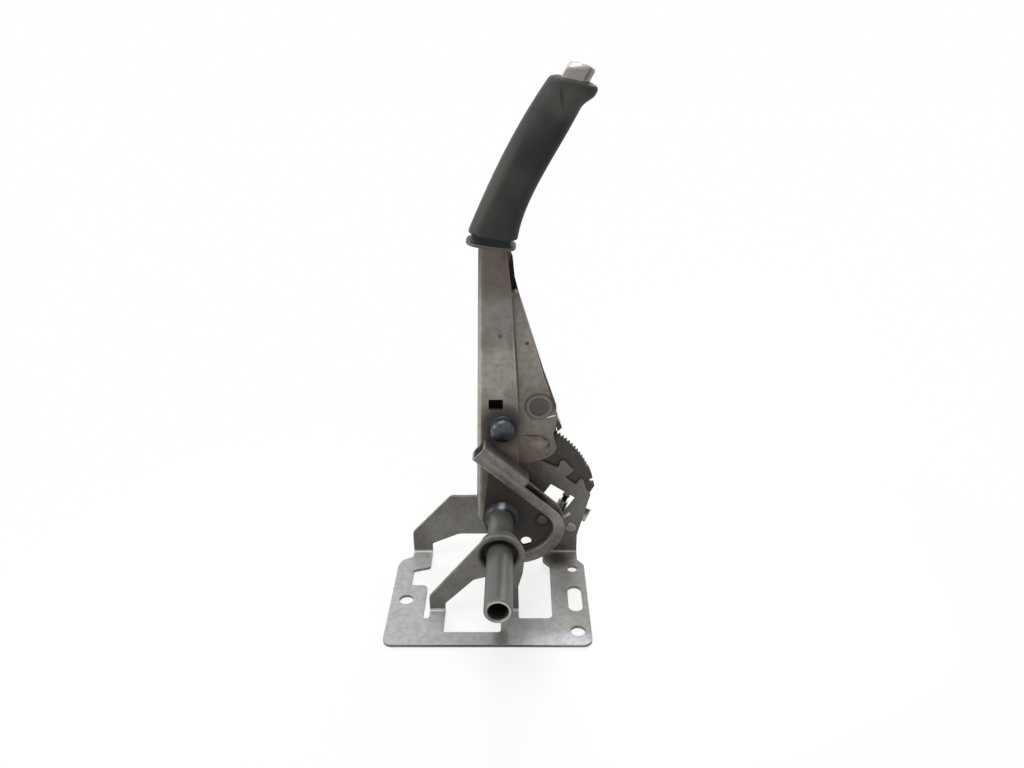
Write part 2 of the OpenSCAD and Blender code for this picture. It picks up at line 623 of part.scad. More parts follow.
// Domed stud welded to the column
stud_at = [1.7, tunnel_d + 33.2];
stud_r = 10.2;
stud_h = 9;
module anchor_stud() color([0.15, 0.2, 0.22]) at_pivot() translate([stud_at[0], 0, stud_at[1]]) {
    dome_r = (stud_r * stud_r + stud_h * stud_h) / (2 * stud_h);
    rim_a = asin(stud_r / dome_r);
    dome = [for (i = [0:10]) let (a = rim_a * i / 10)
        [dome_r * sin(a), column_y - stud_h + dome_r * (1 - cos(a))]];
    turned_part(concat(dome, [[0, column_y]]));
}

// Pawl on its rivet: the tooth is drawn seated in a gap, then lifted clear of the tips
pawl_drop = 5.1;
module about_pin(a) { translate(pawl_pin) rotate(a) translate(-pawl_pin) children(); }
pawl_hub_r = 8;
tail_x = [4, 15];
tail_z = 95;
tail_h = 4;
tail_y = lever_mid_y - rod_r - 0.5;
module pawl_arm() {
    a = pawl_tip_angle;
    point_r = root_r + 1.05;
    base_r = sector_r + 1.3;
    polygon([pawl_pin + [-6, -4.5], polar(base_r + 0.3, a - 4.5), polar(base_r, a - 3.2),
        polar(point_r, a - 1.35), polar(point_r, a - 1.2), polar(base_r, a - 0.5),
        polar(base_r + 1.6, a - 0.2), pawl_pin + [7.6, 2]]);
}
module pawl() color([0.35, 0.33, 0.3]) at_pivot() difference() {
    union() {
        plate(sector_y, sector_t) union() {
            about_pin(pawl_drop) pawl_arm();
            polygon([pawl_pin + [0, -7], pawl_pin + [0, 7.5], [tail_x[1], tail_z], [tail_x[0], tail_z],
                [tail_x[0], tail_z - tail_h], [tail_x[1], tail_z - tail_h - 2]]);
        }
        cross_rod(pawl_pin[0], pawl_pin[1], pawl_hub_r, near_y + lever_t + slide_gap, sector_y + sector_t);
        cross_rod(pawl_pin[0], pawl_pin[1], pawl_pin_r + 1.2, sector_y, far_y - slide_gap);
        translate([tail_x[0], tail_y, tail_z - tail_h])
            cube([tail_x[1] - tail_x[0], sector_y + sector_t - tail_y, tail_h]);
    }
    cross_rod(pawl_pin[0], pawl_pin[1], pawl_pin_r + run_gap, near_y, far_back_y);
}
module pawl_rivet() color([0.3, 0.3, 0.29]) at_pivot() translate([pawl_pin[0], 0, pawl_pin[1]]) {
    rivet(pawl_pin_r, pawl_pin_r + 3.5, 1.4, near_y - pawl_boss_h, far_back_y);
}
spring_wire = 0.6;
pawl_coil_r = pawl_pin_r + 2.4;
module pawl_spring() color([0.62, 0.62, 0.6]) at_pivot()
    translate([pawl_pin[0], sector_y + sector_t, pawl_pin[1]]) rotate([-90, 0, 0]) {
        z0 = spring_wire + 0.2;
        z1 = far_gap - spring_wire - 0.2;
        turns = [for (p = coil(pawl_coil_r, z0, z1, 2.25, 20)) [p[1], -p[0], p[2]]];
        last = turns[len(turns) - 1];
        wire(concat([[-42, -pawl_coil_r, z0]], turns, [last + [0, 12, 0]]), spring_wire, 8, [0, 0, 1]);
    }

// Grip, its neck and the collar that holds the boot
grip_mid = [21, 278];
grip_mid_tilt = 28.4;
grip_corner = 11;
grip_foot = [[-20.9, 225.5], [13.7, 220.4]];
grip_head = [[36, 329.3], [64.6, 322.3]];
function along(line, x) =
    [x, line[0][1] + (line[1][1] - line[0][1]) * (x - line[0][0]) / (line[1][0] - line[0][0])];
module rounded_rect(w, d, r) {
    polygon(rounded([[-w / 2, -d / 2, r], [w / 2, -d / 2, r], [w / 2, d / 2, r], [-w / 2, d / 2, r]], 8));
}
module grip_bar(w, d, r) {
    centre = grip_mid + grip_bend * [cos(grip_mid_tilt), -sin(grip_mid_tilt)];
    sweep = 15;
    translate([centre[0], lever_mid_y, centre[1]])
        rotate([90, 0, 0]) rotate([0, 0, 180 - grip_mid_tilt - sweep / 2])
        rotate_extrude(angle = sweep, $fn = 360) translate([grip_bend, 0]) rounded_rect(w, d, r);
}
module grip_span() {
    plate(lever_mid_y - grip_d, 2 * grip_d)
        polygon([along(grip_foot, -60), along(grip_foot, 90), along(grip_head, 120), along(grip_head, -20)]);
}
// The grip's front edge stands out at its head as a finger nose, and flares at its foot
nose_w = 22;
module finger_nose() {
    polygon(rounded([[50, 304, 0], [56.7, 311, 2], [66.1, 318.8, 1.5], concat(along(grip_head, 64.4), 1),
        [46, 326, 0]]));
}
module heel() {
    polygon(rounded([[22.5, 249.5, 0], [16, 231, 25], concat(along(grip_foot, 13.7), 1.5),
        concat(along(grip_foot, 0), 0), [10, 245, 0]]));
}
neck_at = [-5, 216.9];
neck_l = 8;
collar_size = [36, 33];
neck_size = collar_size - [6, 4];
collar_h = 4;
collar_tilt = 5;
// The face on which the collar meets the neck
module on_neck() { translate([neck_at[0], lever_mid_y, neck_at[1]]) rotate([0, collar_tilt, 0]) children(); }
module on_handle(s) {
    at = on_grip(s, 0);
    translate([at[0], lever_mid_y, at[1]]) rotate([0, button_tilt, 0]) children();
}
button_gap = 0.3;
button_s = tongue_l + 24;
button_corner = 5;
button_n = 0.7;
spring_bore_r = 6.5;
module grip() color([0.2, 0.2, 0.2]) at_pivot() difference() {
    union() {
        intersection() { grip_bar(grip_w, grip_d, grip_corner); grip_span(); }
        plate(lever_mid_y - nose_w / 2, nose_w) { finger_nose(); heel(); }
        on_neck() linear_extrude(neck_l) rounded_rect(neck_size[0], neck_size[1], 9);
    }
    socket = tongue_half + 0.5;
    socket_top = tongue_l + 1;
    plate(column_y - slide_gap, far_back_y - column_y + 2 * slide_gap)
        polygon([[-15, 200], strip_top - [0.8, 0], on_grip(-1, -socket), on_grip(socket_top, -socket),
            on_grip(socket_top, socket), on_grip(0, socket), [9, 216], [9, 200]]);
    on_handle(tongue_l) cylinder(r = spring_bore_r, h = button_s - tongue_l);
    on_handle(button_s - button_travel - 2) translate([button_n, 0, 0]) linear_extrude(60)
        rounded_rect(button_w + 2 * button_gap, button_w + 2 * button_gap, button_corner);
}
collar_hole_x = [-9.8, 14];
module grip_collar() color([0.3, 0.3, 0.3]) at_pivot() on_neck() translate([0, 0, -collar_h]) difference() {
    half = (far_back_y - column_y) / 2 + slide_gap;
    linear_extrude(collar_h) rounded_rect(collar_size[0], collar_size[1], 8);
    translate([collar_hole_x[0], -half, -1])
        cube([collar_hole_x[1] - collar_hole_x[0], 2 * half, collar_h + 2]);
}

// Push rod, its guide, spring and button
guide_s = [tongue_l - 42, tongue_l - 32];
module rod_guide() color([0.1, 0.1, 0.1]) at_pivot() difference() {
    inside = far_y - column_y - lever_t;
    on_handle(guide_s[0]) translate([lever_t - tongue_half + seat_gap, seat_gap - inside / 2, 0])
        cube([2 * tongue_half - lever_t - 0.5, inside - 2 * seat_gap, guide_s[1] - guide_s[0]]);
    on_handle(guide_s[0] - 1) cylinder(r = rod_r + slide_gap, h = guide_s[1] - guide_s[0] + 2);
}
rod_foot = [10.7, tail_z + 0.65];
rod_end_s = button_s + 12;
rod_fold = 15;
rod_lean = atan2(rod_bend[0] - rod_foot[0], rod_bend[1] - rod_foot[1]);
rod_cut = rod_fold * tan((button_tilt - rod_lean) / 2);
module push_rod() color([0.55, 0.55, 0.53]) at_pivot() {
    fold_centre = on_grip(rod_cut, rod_fold);
    fold = arc_points(fold_centre, rod_fold, 180 - rod_lean, 180 - button_tilt, 8);
    line = concat([rod_foot], fold, [on_grip(rod_end_s, 0)]);
    wire([for (p = line) [p[0], lever_mid_y, p[1]]], rod_r, 16, [0, 1, 0]);
}
// The dome's top lies to the right of the handle's axis, so that the thumb meets it level
button_dome = 12.6;
dome_n = 3.4;
rod_top_s = (rod_top[1] - rod_bend_z) / cos(button_tilt);
module button() color([0.8, 0.8, 0.82]) at_pivot() difference() {
    intersection() {
        on_handle(button_s) translate([button_n, 0, 0]) linear_extrude(60)
            rounded_rect(button_w, button_w, button_corner);
        on_handle(rod_top_s + button_h - button_dome) translate([dome_n, 0, 0]) union() {
            sphere(r = button_dome);
            translate([0, 0, -60]) cylinder(r = button_dome, h = 60);
        }
    }
    on_handle(button_s - 1) cylinder(r = rod_r + seat_gap, h = rod_end_s - button_s + 1 + seat_gap);
}
button_coil_r = 4.2;
module button_spring() color([0.62, 0.62, 0.6]) at_pivot() on_handle(0)
    wire(coil(button_coil_r, guide_s[1] + spring_wire + 0.1, button_s - spring_wire - 0.1, 9, 14),
        spring_wire, 8, [0, 0, 1]);

base_bracket();
ratchet_sector();
sector_rivets();
front_bush();
rear_bush();
switch_body();
switch_barrel();
switch_terminal();
switch_clip();
switch_plunger();
switch_spring();
lever_channel();
lever_cover();
cable_quadrant();
quadrant_rim();
front_lip();
back_lip();
cable_tunnel();
quadrant_rivet();
pivot_tube();
tube_weld();
tube_retainer();
anchor_stud();
pawl_rivet();
pawl();
pawl_spring();
grip();
grip_collar();
rod_guide();
push_rod();
button();
button_spring();
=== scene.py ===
# %% [markdown]
# # Parking brake lever
# A hand lever on a stamped steel bracket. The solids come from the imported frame, in metres, and stay
# where they are. This lesson gives each of them its finish, softens its cut edges, and replaces the few
# pieces whose real form is moulded, drawn, plated or welded with surfaces worked out in numpy.

# %% Frame and measures
import json
import math

import bpy
import numpy as np
from mathutils import Matrix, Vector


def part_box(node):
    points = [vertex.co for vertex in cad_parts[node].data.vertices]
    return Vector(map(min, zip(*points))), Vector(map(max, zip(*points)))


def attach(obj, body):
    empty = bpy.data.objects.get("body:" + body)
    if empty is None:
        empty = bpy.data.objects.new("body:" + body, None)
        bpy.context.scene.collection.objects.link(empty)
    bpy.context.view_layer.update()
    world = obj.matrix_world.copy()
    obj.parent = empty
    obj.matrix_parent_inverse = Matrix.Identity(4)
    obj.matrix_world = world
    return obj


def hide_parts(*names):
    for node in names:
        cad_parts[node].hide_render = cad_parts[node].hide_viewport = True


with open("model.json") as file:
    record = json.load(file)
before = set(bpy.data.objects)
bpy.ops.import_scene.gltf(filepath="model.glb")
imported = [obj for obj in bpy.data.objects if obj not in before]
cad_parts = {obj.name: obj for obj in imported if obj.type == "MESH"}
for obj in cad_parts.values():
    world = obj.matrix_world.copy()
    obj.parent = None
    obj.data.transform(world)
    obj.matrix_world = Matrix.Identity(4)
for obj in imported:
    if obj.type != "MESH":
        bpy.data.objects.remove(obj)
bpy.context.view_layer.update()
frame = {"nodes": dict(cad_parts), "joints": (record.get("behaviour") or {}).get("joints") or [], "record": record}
MM = 0.001
nodes = frame["nodes"]
joints = {joint["name"]: joint for joint in frame["joints"]}
pivot = np.array(joints["lever_pivot"]["pos_m"]) / MM
foot_z = pivot[2]
handle = -np.array(joints["button_slide"]["axis"])
grip_box = np.array(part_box("grip")) / MM
lever_mid_y = grip_box[:, 1].mean()
column_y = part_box("lever_channel")[0].y / MM
print("pivot", pivot, "handle axis", handle, "lever's middle plane", lever_mid_y)

# %% [markdown]
# ## Colours and shader nodes
# Colours are written as sRGB hex values, as a colour picker shows them, and one function turns them into
# the linear numbers that shaders use. One more function adds a node with its settings and links, and
# gives back the socket that carries its result, so that a tree reads as a row of steps. Drawing the trees
# by hand in the editor would do as well, but steps in text can be read and changed one by one.

# %% Colours and shader nodes


def colour(hex_value):
    """Linear RGBA of an sRGB hex colour."""
    parts = np.array([int(hex_value[i:i + 2], 16) for i in (1, 3, 5)]) / 255
    linear = np.where(parts <= 0.04045, parts / 12.92, ((parts + 0.055) / 1.055) ** 2.4)
    return (*linear.tolist(), 1.0)


def add(tree, kind, inputs, out=0, **settings):
    """Adds a node: settings are its properties, inputs are values or sockets, out names its result."""
    node = tree.nodes.new(kind)
    for name, value in settings.items():
        setattr(node, name, value)
    shown = [socket for socket in node.inputs if socket.enabled]
    for key, value in inputs.items():
        socket = shown[key] if isinstance(key, int) else next(s for s in shown if s.name == key)
        if isinstance(value, bpy.types.NodeSocket):
            tree.links.new(value, socket)
        else:
            socket.default_value = value
    if isinstance(out, str):
        return node.outputs[out]
    results = [socket for socket in node.outputs if socket.enabled]
    return results[out] if results else None


WHITE = (1, 1, 1, 1)
print("steel grey in linear numbers", colour("#8f908e")[:3])

# %% [markdown]
# ## Camera
# The photo was taken from in front of the tube's open end, a little above the grip, with a phone's wide
# lens. Its focal length in pixels and its place were found from the edges of the base plate. They could
# be turned into angles for Blender's fields, but three direction vectors in a matrix leave no doubt about
# the order of the turns.

# %% Camera
PHOTO_WIDTH = 1024
SENSOR = 36.0
CLIP_START = 0.02
focal_px = 806
camera_mm = np.array([14.2, -457.5, 421.0])
pitch, yaw, roll = np.radians([24.89, -0.516, -0.35])
forward = np.array([np.sin(yaw) * np.cos(pitch), np.cos(yaw) * np.cos(pitch), -np.sin(pitch)])
level_right = np.array([np.cos(yaw), -np.sin(yaw), 0.0])
level_up = np.cross(level_right, forward)
right = level_right * np.cos(roll) + level_up * np.sin(roll)
up = -level_right * np.sin(roll) + level_up * np.cos(roll)
camera = bpy.data.objects.new("camera", bpy.data.cameras.new("camera"))
bpy.context.scene.collection.objects.link(camera)
camera.data.sensor_width = SENSOR
camera.data.sensor_fit = "HORIZONTAL"
camera.data.lens = focal_px / PHOTO_WIDTH * SENSOR
camera.data.clip_start = CLIP_START
turn = np.eye(4)
turn[:3, :3] = np.stack([right, up, -forward], -1)
turn[:3, 3] = camera_mm * MM
camera.matrix_world = Matrix(turn.tolist())
bpy.context.scene.camera = camera
bpy.context.scene.view_settings.view_transform = "Standard"
print("lens", round(camera.data.lens, 2), "mm")

# %% [markdown]
# ## White room
# The photo's background is plain white. A brighter world would give that too, but it would also wash out
# the object. So the world's light is kept at a plain level for the object, and only rays that look at it,
# straight or in a mirror or through glass, see full white. A Map Range node goes from one level to the
# other.

# %% White room
ROOM_LIGHT = 0.36


def looked_at(tree):
    """Factor that is 1 for rays that look at a surface: camera, mirror and glass rays."""
    rays = ["Is Camera Ray", "Is Glossy Ray", "Is Transmission Ray"]
    seen, mirrored, through = [add(tree, "ShaderNodeLightPath", {}, ray) for ray in rays]
    indirect = add(tree, "ShaderNodeMath", {0: mirrored, 1: through}, operation="MAXIMUM")
    return add(tree, "ShaderNodeMath", {0: seen, 1: indirect}, operation="MAXIMUM")


world = bpy.data.worlds.new("white_room")
bpy.context.scene.world = world
world.use_nodes = True
room = world.node_tree
room.nodes.clear()
level = add(room, "ShaderNodeMapRange", {"Value": looked_at(room), "To Min": ROOM_LIGHT, "To Max": 1.0})
background = add(room, "ShaderNodeBackground", {"Color": WHITE, "Strength": level})
add(room, "ShaderNodeOutputWorld", {"Surface": background})
print("room light", ROOM_LIGHT)

# %% [markdown]
# ## Floor
# A white sheet with a faint gloss, in which the bracket mirrors itself a little. A curved backdrop would
# hide the horizon, but then its bend shows from other sides. Here the sheet is flat: near the object part
# of its look is real light, so the shadow stays, and further off a glow of full white takes over.

# %% Floor
FLOOR_SIZE, FLOOR_Z = 8.0, -0.0002
FLOOR_ROUGHNESS, FLOOR_IOR = 0.16, 1.4
NEAR_GLOW, FAR_GLOW = 0.8, 1.0
GLOW_FROM, GLOW_TO = 0.16, 0.5
GLOW_CENTRE = (0.0, 0.06, 0.0)
half = FLOOR_SIZE / 2
floor_corners = [(x, y, FLOOR_Z) for x, y in ((-half, -half), (half, -half), (half, half), (-half, half))]
floor_mesh = bpy.data.meshes.new("floor")
floor_mesh.from_pydata(floor_corners, [], [(0, 1, 2, 3)])
floor = bpy.data.objects.new("floor", floor_mesh)
bpy.context.scene.collection.objects.link(floor)
floor_sheet = bpy.data.materials.new("white_floor_sheet")
floor_sheet.use_nodes = True
sheet = floor_sheet.node_tree
sheet.nodes.clear()
spot = add(sheet, "ShaderNodeTexCoord", {}, "Object")
away = add(sheet, "ShaderNodeVectorMath", {0: spot, 1: GLOW_CENTRE}, "Value", operation="DISTANCE")
glow_share = add(sheet, "ShaderNodeMapRange", {"Value": away, "From Min": GLOW_FROM, "From Max": GLOW_TO,
                 "To Min": NEAR_GLOW, "To Max": FAR_GLOW}, interpolation_type="SMOOTHSTEP")
lift = add(sheet, "ShaderNodeMath", {0: looked_at(sheet), 1: glow_share}, operation="MULTIPLY")
matt = add(sheet, "ShaderNodeBsdfDiffuse", {"Color": colour("#ececea")})
glow = add(sheet, "ShaderNodeEmission", {"Color": WHITE, "Strength": 1.0})
lit = add(sheet, "ShaderNodeMixShader", {0: lift, 1: matt, 2: glow})
gloss = add(sheet, "ShaderNodeBsdfGlossy", {"Color": WHITE, "Roughness": FLOOR_ROUGHNESS})
facing = add(sheet, "ShaderNodeFresnel", {"IOR": FLOOR_IOR})
painted = add(sheet, "ShaderNodeMixShader", {0: facing, 1: lit, 2: gloss})
add(sheet, "ShaderNodeOutputMaterial", {"Surface": painted})
floor_mesh.materials.append(floor_sheet)
print("floor", FLOOR_SIZE, "m")

# %% [markdown]
# ## Lamps
# A large soft lamp overhead gives the level faces their light, a weaker one on the left draws the long
# bright edge of the lever and the grip, and one behind keeps the back from going dark. Area lamps are
# used because their size gives soft shadows, and their square mirrors itself in the chrome as a window
# would.

# %% Lamps
# Upper edge of the lamps: along Y, raised a little so that no lamp looks straight along it.
LAMP_TOP = (0.0, 1.0, 0.01)


def soft_lamp(name, place, target, size, power):
    """A square lamp in metres and watts that faces its target."""
    data = bpy.data.lights.new(name, "AREA")
    data.shape = "SQUARE"
    data.size = size
    data.energy = power
    lamp = bpy.data.objects.new(name, data)
    away = np.array(place) - np.array(target)
    back = away / np.linalg.norm(away)
    side = np.cross(LAMP_TOP, back)
    side /= np.linalg.norm(side)
    turned = np.eye(4)
    turned[:3, :3] = np.stack([side, np.cross(back, side), back], -1)
    turned[:3, 3] = place
    lamp.matrix_world = Matrix(turned.tolist())
    bpy.context.scene.collection.objects.link(lamp)
    print(name, power, "W")


middle = (0.0, 0.08, 0.15)
soft_lamp("lamp_over", (-0.25, 0.0, 1.3), middle, size=0.9, power=13)
soft_lamp("lamp_left", (-1.1, -0.3, 0.5), middle, size=0.6, power=5)
soft_lamp("lamp_back", (0.5, 1.2, 0.9), middle, size=0.8, power=4)

# %% [markdown]
# ## Smooth but for edges
# Curved faces should look smooth while edges stay crisp. Blender's own shading by angle is a file of its
# asset library, so a small node group does the same: all faces smooth, and edges beyond an angle sharp.

# %% Smooth but for edges
SMOOTH_ANGLE = math.radians(28)
shade_group = bpy.data.node_groups.new("smooth_but_for_edges", "GeometryNodeTree")
for way in ("INPUT", "OUTPUT"):
    shade_group.interface.new_socket("Geometry", in_out=way, socket_type="NodeSocketGeometry")
start = add(shade_group, "NodeGroupInput", {})
smoothed = add(shade_group, "GeometryNodeSetShadeSmooth", {"Geometry": start, "Shade Smooth": True},
               domain="FACE")
angle = add(shade_group, "GeometryNodeInputMeshEdgeAngle", {})
sharp = add(shade_group, "FunctionNodeCompare", {"A": angle, "B": SMOOTH_ANGLE}, data_type="FLOAT",
            operation="GREATER_THAN")
edged = add(shade_group, "GeometryNodeSetShadeSmooth", {"Geometry": smoothed, "Selection": sharp,
            "Shade Smooth": False}, domain="EDGE")
add(shade_group, "NodeGroupOutput", {0: edged})
print("edges beyond", round(math.degrees(SMOOTH_ANGLE)), "degrees stay sharp")

# %% [markdown]
# ## Softened edges
# Real sheet metal has no knife edges: shearing and pressing leave a small radius that catches the light
# as a bright line. The radii could be drawn into the solids, at the cost of thousands of tiny faces
# there. Modifiers work only on what is shown: Weld joins the loose triangles, Decimate takes out the
# edges between flat neighbours, Bevel rounds the edges that are left, the node group shades the curved
# faces smooth, and Weighted Normal keeps the flat faces flat beside them.

# %% Softened edges
JOIN_MM = 0.002
BEVEL_SEGMENTS = 2
BEVEL_ANGLE = math.radians(32)
FLAT_DEG, WIRE_FLAT_DEG = 0.6, 0.1
LARGEST_FACE_WINS = 100


def soften(node_name, width_mm, flat_deg=FLAT_DEG):
    """Rounds the edges of a solid by a small radius, on what is shown of it."""
    piece = nodes[node_name]
    weld = piece.modifiers.new("join", "WELD")
    weld.merge_threshold = JOIN_MM * MM
    merge = piece.modifiers.new("flat", "DECIMATE")
    merge.decimate_type = "DISSOLVE"
    merge.angle_limit = math.radians(flat_deg)
    if width_mm > 0:
        bevel = piece.modifiers.new("edge", "BEVEL")
        bevel.width = width_mm * MM
        bevel.segments = BEVEL_SEGMENTS
        bevel.limit_method = "ANGLE"
        bevel.angle_limit = BEVEL_ANGLE
        bevel.use_clamp_overlap = False
        bevel.miter_outer = "MITER_ARC"
    piece.modifiers.new("shade", "NODES").node_group = shade_group
    flats = piece.modifiers.new("flats", "WEIGHTED_NORMAL")
    flats.weight = LARGEST_FACE_WINS
    flats.keep_sharp = True


EDGE_MM = {"base_bracket": 0.4, "lever_channel": 0.35, "lever_cover": 0.35, "cable_quadrant": 0.2,
           "ratchet_sector": 0.15, "pawl": 0.15, "sector_rivets": 0.2, "quadrant_rivet": 0.25,
           "pawl_rivet": 0.3, "pivot_tube": 0.2, "tube_retainer": 0.1, "front_bush": 0.15,
           "rear_bush": 0.15, "switch_body": 0.3, "switch_barrel": 0.1, "switch_plunger": 0.15,
           "switch_clip": 0.08, "switch_terminal": 0.08, "rod_guide": 0.2}
for node_name, width in EDGE_MM.items():
    soften(node_name, width)
for node_name in ("push_rod", "button_spring", "pawl_spring", "switch_spring"):
    soften(node_name, 0, WIRE_FLAT_DEG)
print("softened", len(EDGE_MM), "solids")

# %% [markdown]
# ## A finish and its patches
# Steel that has been pressed, welded and handled is never one grey. Each finish starts from a ground
# colour that drifts in clouds, and patches are laid over it where the photo shows them: heat round a
# weld, rust in a corner, and painted light and shade as well, such as a painted highlight down a fold
# and painted shade in a recess. They could be painted on an image, but a patch that is an ellipsoid in
# the part's own millimetres needs none, and it stays on the metal when the lever swings.
# Small brown marks soil the metal, and a fine grain breaks up the shine. The real grain is finer than a
# pixel, so it is drawn coarser, about a pixel wide in the photo's view, to show at all. Oxide and dirt
# leave bare steel half metal and half matt, so its Metallic value lies between the two.

# %% A finish and its patches
CLOUD_SPAN = (0.38, 0.66)
RAGGED = 0.6
SOIL_MM, SOIL_SPAN, SOIL_BROWN = 5.0, (0.42, 0.75), "#3e352d"
GRAIN_SPAN = (0.3, 0.7)
SHINE_LOW, SHINE_HIGH = 0.05, 0.07
BUMP_MM = 0.1


def finish(name, ground, drift, patches=(), roughness=0.42, metallic=0.5, cloud_mm=24.0, grain_mm=0.6,
           relief=0.1, soil=0.0, specular=0.5):
    """Material of a ground colour that drifts in clouds, with patches laid over it, soil and a fine grain.

    A patch is its centre and reach in mm, its colour, its strength, the share of its reach up to which it
    is full, and its lean about the Y axis in degrees. Patches hold stains, and painted light and shade too.
    Soil is how strongly small brown marks show.
    """
    material = bpy.data.materials.new(name)
    material.use_nodes = True
    tree = material.node_tree
    tree.nodes.clear()
    place = add(tree, "ShaderNodeTexCoord", {}, "Object")
    clouds = add(tree, "ShaderNodeTexNoise", {"Vector": place, "Scale": 1 / (cloud_mm * MM), "Detail": 5.0,
                 "Roughness": 0.6})
    share = add(tree, "ShaderNodeMapRange", {"Value": clouds, "From Min": CLOUD_SPAN[0],
                "From Max": CLOUD_SPAN[1]})
    tone = add(tree, "ShaderNodeMix", {"Factor": share, "A": colour(ground), "B": colour(drift)},
               data_type="RGBA")
    wobble = add(tree, "ShaderNodeMapRange", {"Value": clouds, "To Min": -RAGGED, "To Max": RAGGED})
    for centre, reach, stain_and_painted_light, strength, edge, lean in patches:
        local = add(tree, "ShaderNodeMapping", {"Vector": place, "Location": np.array(centre) * MM,
                    "Rotation": (0.0, math.radians(lean), 0.0), "Scale": np.array(reach) * MM},
                    vector_type="TEXTURE")
        far = add(tree, "ShaderNodeVectorMath", {0: local}, "Value", operation="LENGTH")
        ragged = add(tree, "ShaderNodeMath", {0: wobble, 1: 1 - edge, 2: far}, operation="MULTIPLY_ADD")
        hold = add(tree, "ShaderNodeMapRange", {"Value": ragged, "From Min": edge, "From Max": 1.0,
                   "To Min": strength, "To Max": 0.0}, interpolation_type="SMOOTHSTEP")
        tone = add(tree, "ShaderNodeMix", {"Factor": hold, "A": tone, "B": colour(stain_and_painted_light)}, data_type="RGBA")
    marks = add(tree, "ShaderNodeTexNoise", {"Vector": place, "Scale": 1 / (SOIL_MM * MM), "Detail": 6.0,
                "Roughness": 0.7})
    soiled = add(tree, "ShaderNodeMapRange", {"Value": marks, "From Min": SOIL_SPAN[0],
                 "From Max": SOIL_SPAN[1], "To Min": 0.0, "To Max": soil})
    tone = add(tree, "ShaderNodeMix", {"Factor": soiled, "A": tone, "B": colour(SOIL_BROWN)},
               data_type="RGBA")
    grain = add(tree, "ShaderNodeTexNoise", {"Vector": place, "Scale": 1 / (grain_mm * MM), "Detail": 3.0})
    shine = add(tree, "ShaderNodeMapRange", {"Value": grain, "From Min": GRAIN_SPAN[0],
                "From Max": GRAIN_SPAN[1], "To Min": roughness - SHINE_LOW,
                "To Max": roughness + SHINE_HIGH})
    bumps = add(tree, "ShaderNodeBump", {"Height": grain, "Strength": relief, "Distance": BUMP_MM * MM})
    surface = add(tree, "ShaderNodeBsdfPrincipled", {"Base Color": tone, "Metallic": metallic,
                  "Roughness": shine, "Normal": bumps, "Specular IOR Level": specular})
    add(tree, "ShaderNodeOutputMaterial", {"Surface": surface})
    print(name, len(patches), "patches")
    return material


# %% [markdown]
# ## Pressed lever
# The lever is stamped from sheet and left bare. It is brown near the grip and the weld and a neutral grey
# between, with a painted highlight down the rounded fold of its left edge. The large patches give those
# tones, and the small ones draw the stains, and in painted light and shade the pressed ring round the
# pawl's rivet, the pocket below it, the step beside the column and a painted shadow on the far plate.
# Soft ellipsoids are enough for this, since stains on steel have no sharp outline.

# %% Pressed lever
# Warm mottled grey that says bare steel with heat and hand marks.
lever_steel = finish("heat_marked_lever_steel", "#7f7b73", "#726c63", [
    ((0, 100, foot_z + 204), (48, 60, 38), "#5b524b", 0.9, 0.3, 0),
    ((-4, 96, foot_z + 160), (30, 60, 26), "#7b7b76", 0.8, 0.3, 0),
    ((-4, 96, foot_z + 122), (24, 60, 40), "#9b978e", 0.85, 0.25, 0),
    ((25, 100, foot_z + 138), (22, 30, 46), "#928d84", 0.75, 0.25, 0),
    ((20, 97, foot_z + 44), (48, 40, 36), "#6c6257", 0.8, 0.25, 0),
    ((1.7, 93, foot_z + 77), (25, 12, 24), "#352b2c", 0.95, 0.5, 0),
    ((4.6, 94, foot_z + 211), (3.5, 6, 7), "#4a352c", 0.7, 0.3, 0),
    ((0.7, 93, foot_z + 151), (2, 4, 2), "#3b3730", 0.85, 0.5, 0),
    ((20.5, 99, foot_z + 143), (2, 4, 2), "#3b3730", 0.85, 0.5, 0),
    # Painted shade and light: a dark ring with a lighter inside draws the pressed ring round the pawl's rivet, a
    # painted highlight its bent edge, and dark lines round a lighter inside draw the pocket below.
    ((30.1, 99, foot_z + 90.6), (12.2, 5, 12.2), "#4b463f", 0.85, 0.9, 0),
    ((30.1, 98.5, foot_z + 90.6), (10.5, 5, 10.5), "#756f66", 0.9, 0.9, 0),
    ((39.2, 99, foot_z + 81.9), (6, 4, 0.8), "#e8e6dc", 1.0, 0.4, -15),
    ((31, 99, foot_z + 75), (12, 5, 8), "#7f776b", 0.5, 0.3, 0),
    ((29, 99, foot_z + 57), (10, 3, 5.5), "#938b7e", 0.65, 0.3, 0),
    ((25, 99, foot_z + 65), (10.5, 3, 1.4), "#37302a", 0.9, 0.3, 2),
    ((35.4, 99, foot_z + 62), (5, 3, 1.4), "#37302a", 0.9, 0.3, 32),
    ((37.8, 99, foot_z + 56.3), (1.5, 3, 5), "#37302a", 0.85, 0.3, 14),
    # A painted highlight and a painted shade line along the step between the column and the pawl plate.
    ((11.6, 95, foot_z + 125), (0.8, 4, 56), "#b4b0a3", 0.75, 0.4, -3),
    ((13.0, 98, foot_z + 125), (0.8, 4, 56), "#453f37", 0.8, 0.4, -3),
    # Painted shadow: the far plate's front near its top is painted near black where it lies in shade, and the next
    # patch gives its back face the plain tone again.
    ((13, 113, foot_z + 198), (7, 14, 30), "#141312", 1.0, 0.85, 17),
    ((13, 122.5, foot_z + 198), (60, 5.4, 90), "#6a635b", 1.0, 0.9, 0),
    # Painted highlight down the rounded fold of the left edge.
    ((-16.2, 93, foot_z + 90), (2.2, 6, 130), "#a6a394", 0.8, 0.5, 1.56)], soil=0.5)
